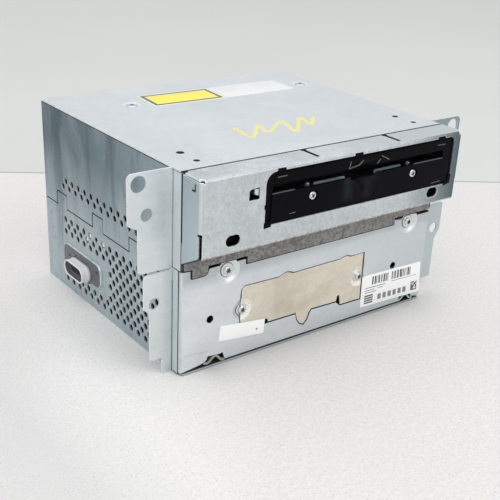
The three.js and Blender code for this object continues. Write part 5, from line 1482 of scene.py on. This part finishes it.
def blade(k, n=7):
    """A curved fan blade: a lofted wing from the hub out to the tip."""
    bm = bmesh.new()
    base_a = 2 * PI * k / n
    sections = []
    for i in range(8):
        r = 8.6 + (18.0 - 8.6) * i / 7
        pitch = math.radians(46 - 20 * i / 7)
        sweep = 0.06 * i
        half = 3.6 + 1.3 * i / 7
        ring = []
        m_ = 7
        for side in (0, 1):
            for j in range(m_):
                t = j / (m_ - 1) if side == 0 else 1 - j / (m_ - 1)
                s_ = (t - 0.5) * 2 * half
                th = 0.42 * math.sin(PI * max(0.06, min(0.94, t))) * (1 if side == 0 else -1)
                camber = 0.55 * (1 - (2 * t - 1) ** 2)
                along, out = s_ * math.cos(pitch) - (th + camber) * math.sin(pitch), s_ * math.sin(pitch) + (th + camber) * math.cos(pitch)
                ang = base_a + sweep + along / r
                y = 144.7 + max(-4.1, min(4.1, out))
                ring.append(bm.verts.new((-50 + r * math.cos(ang), y, 26 + r * math.sin(ang))))
        sections.append(ring)
    for a, b in zip(sections, sections[1:]):
        m_ = len(a)
        for i in range(m_):
            j = (i + 1) % m_
            bm.faces.new((a[i], a[j], b[j], b[i]))
    bm.faces.new(sections[0][::-1])
    bm.faces.new(sections[-1])
    bmesh.ops.triangulate(bm, faces=bm.faces[:])
    return bm


rotor = turned([(0, 140.4), (8.6, 140.4), (9.3, 140.9), (9.5, 141.6), (9.5, 148.9), (9.2, 149.0), (0, 149.0)], 48, "y", -50, 0, 26)
rotor = boolean(rotor, [blade(k) for k in range(7)], "UNION")
weighted(finish_mesh(rotor, "fan_wheel", "fan", ["fan_rotor"], [BLACK], 30.0))

# ------------------------------------------------------------------ CAD nodes that stay
MATS = {
    "main_board": BOARD, "heat_sink": ALU, "hard_disk_drive": ALU, "hdd_tray": MECHDARK, "drive_carrier": MECHDARK,
    "damper_front_left": RUBBER, "damper_front_right": RUBBER, "damper_rear_left": RUBBER, "damper_rear_right": RUBBER,
    "drive_deck": MECH, "upper_disc_guide": MECH, "spindle_motor": MECH, "turntable": BLACK, "clamp_arm": MECH, "clamp_puck": BLACK,
    "clamp_bracket": MECH, "disc_lever_left": MECH, "disc_lever_right": MECH, "roller_shaft": SCREW, "roller_sleeve": RUBBER,
    "roller_gear": WHITE, "idler_gear": WHITE, "motor_pinion": BRASS, "loading_motor": MECH, "pickup_sled": BLACK, "guide_rod": SCREW,
    "lead_screw": SCREW, "sled_motor": MECH, "ribbon_cable": CABLE,
}
BEVEL = {"ribbon_cable": 0.08, "main_board": 0.12, "roller_gear": 0.07, "idler_gear": 0.07, "motor_pinion": 0.05, "guide_rod": 0.2, "roller_shaft": 0.2}
for node, mat in MATS.items():
    o = bpy.data.objects[node]
    o.data.materials.clear()
    o.data.materials.append(mat)
    bev = o.modifiers.new("edges", "BEVEL")
    bev.width, bev.segments, bev.limit_method, bev.angle_limit = BEVEL.get(node, 0.16) * 0.001, 2, "ANGLE", math.radians(34)
    bev.use_clamp_overlap = True
    for p in o.data.polygons:
        p.use_smooth = True
    o.modifiers.new("shade", "WEIGHTED_NORMAL").keep_sharp = False

# ------------------------------------------------------------------ stage and light
bm = bmesh.new()
bmesh.ops.create_grid(bm, x_segments=2, y_segments=2, size=6.0)
me = bpy.data.meshes.new("floor")
bm.to_mesh(me)
bm.free()
floor = bpy.data.objects.new("floor", me)
SCENE.collection.objects.link(floor)
floor.location.z = 0.0
me.materials.append(FLOOR)

world = bpy.data.worlds.new("world")
SCENE.world = world
world.use_nodes = True
bg = world.node_tree.nodes["Background"]
bg.inputs[0].default_value = (0.80, 0.83, 0.86, 1.0)
bg.inputs[1].default_value = 0.90


def area(name, loc, target, sx, sy, watts, colour=(1, 1, 1)):
    data = bpy.data.lights.new(name, "AREA")
    data.shape, data.size, data.size_y, data.energy, data.color = "RECTANGLE", sx, sy, watts, colour
    o = bpy.data.objects.new(name, data)
    SCENE.collection.objects.link(o)
    o.location = loc
    o.rotation_euler = (Vector(target) - Vector(loc)).to_track_quat("-Z", "Y").to_euler()
    return o


area("key", (0.25, -1.3, 1.25), (0, 0, 0.03), 1.8, 1.4, 11.0, (1.0, 0.99, 0.97))
area("overhead", (-0.1, 0.2, 1.9), (0, 0.0, 0.0), 2.4, 2.0, 11.0, (0.96, 0.98, 1.0))
area("glint", (-0.55, -0.9, 1.15), (0, -0.05, 0.05), 0.4, 0.4, 1.6, (1.0, 1.0, 1.0))
SCENE.view_settings.view_transform = "Standard"
SCENE.view_settings.look = "None"
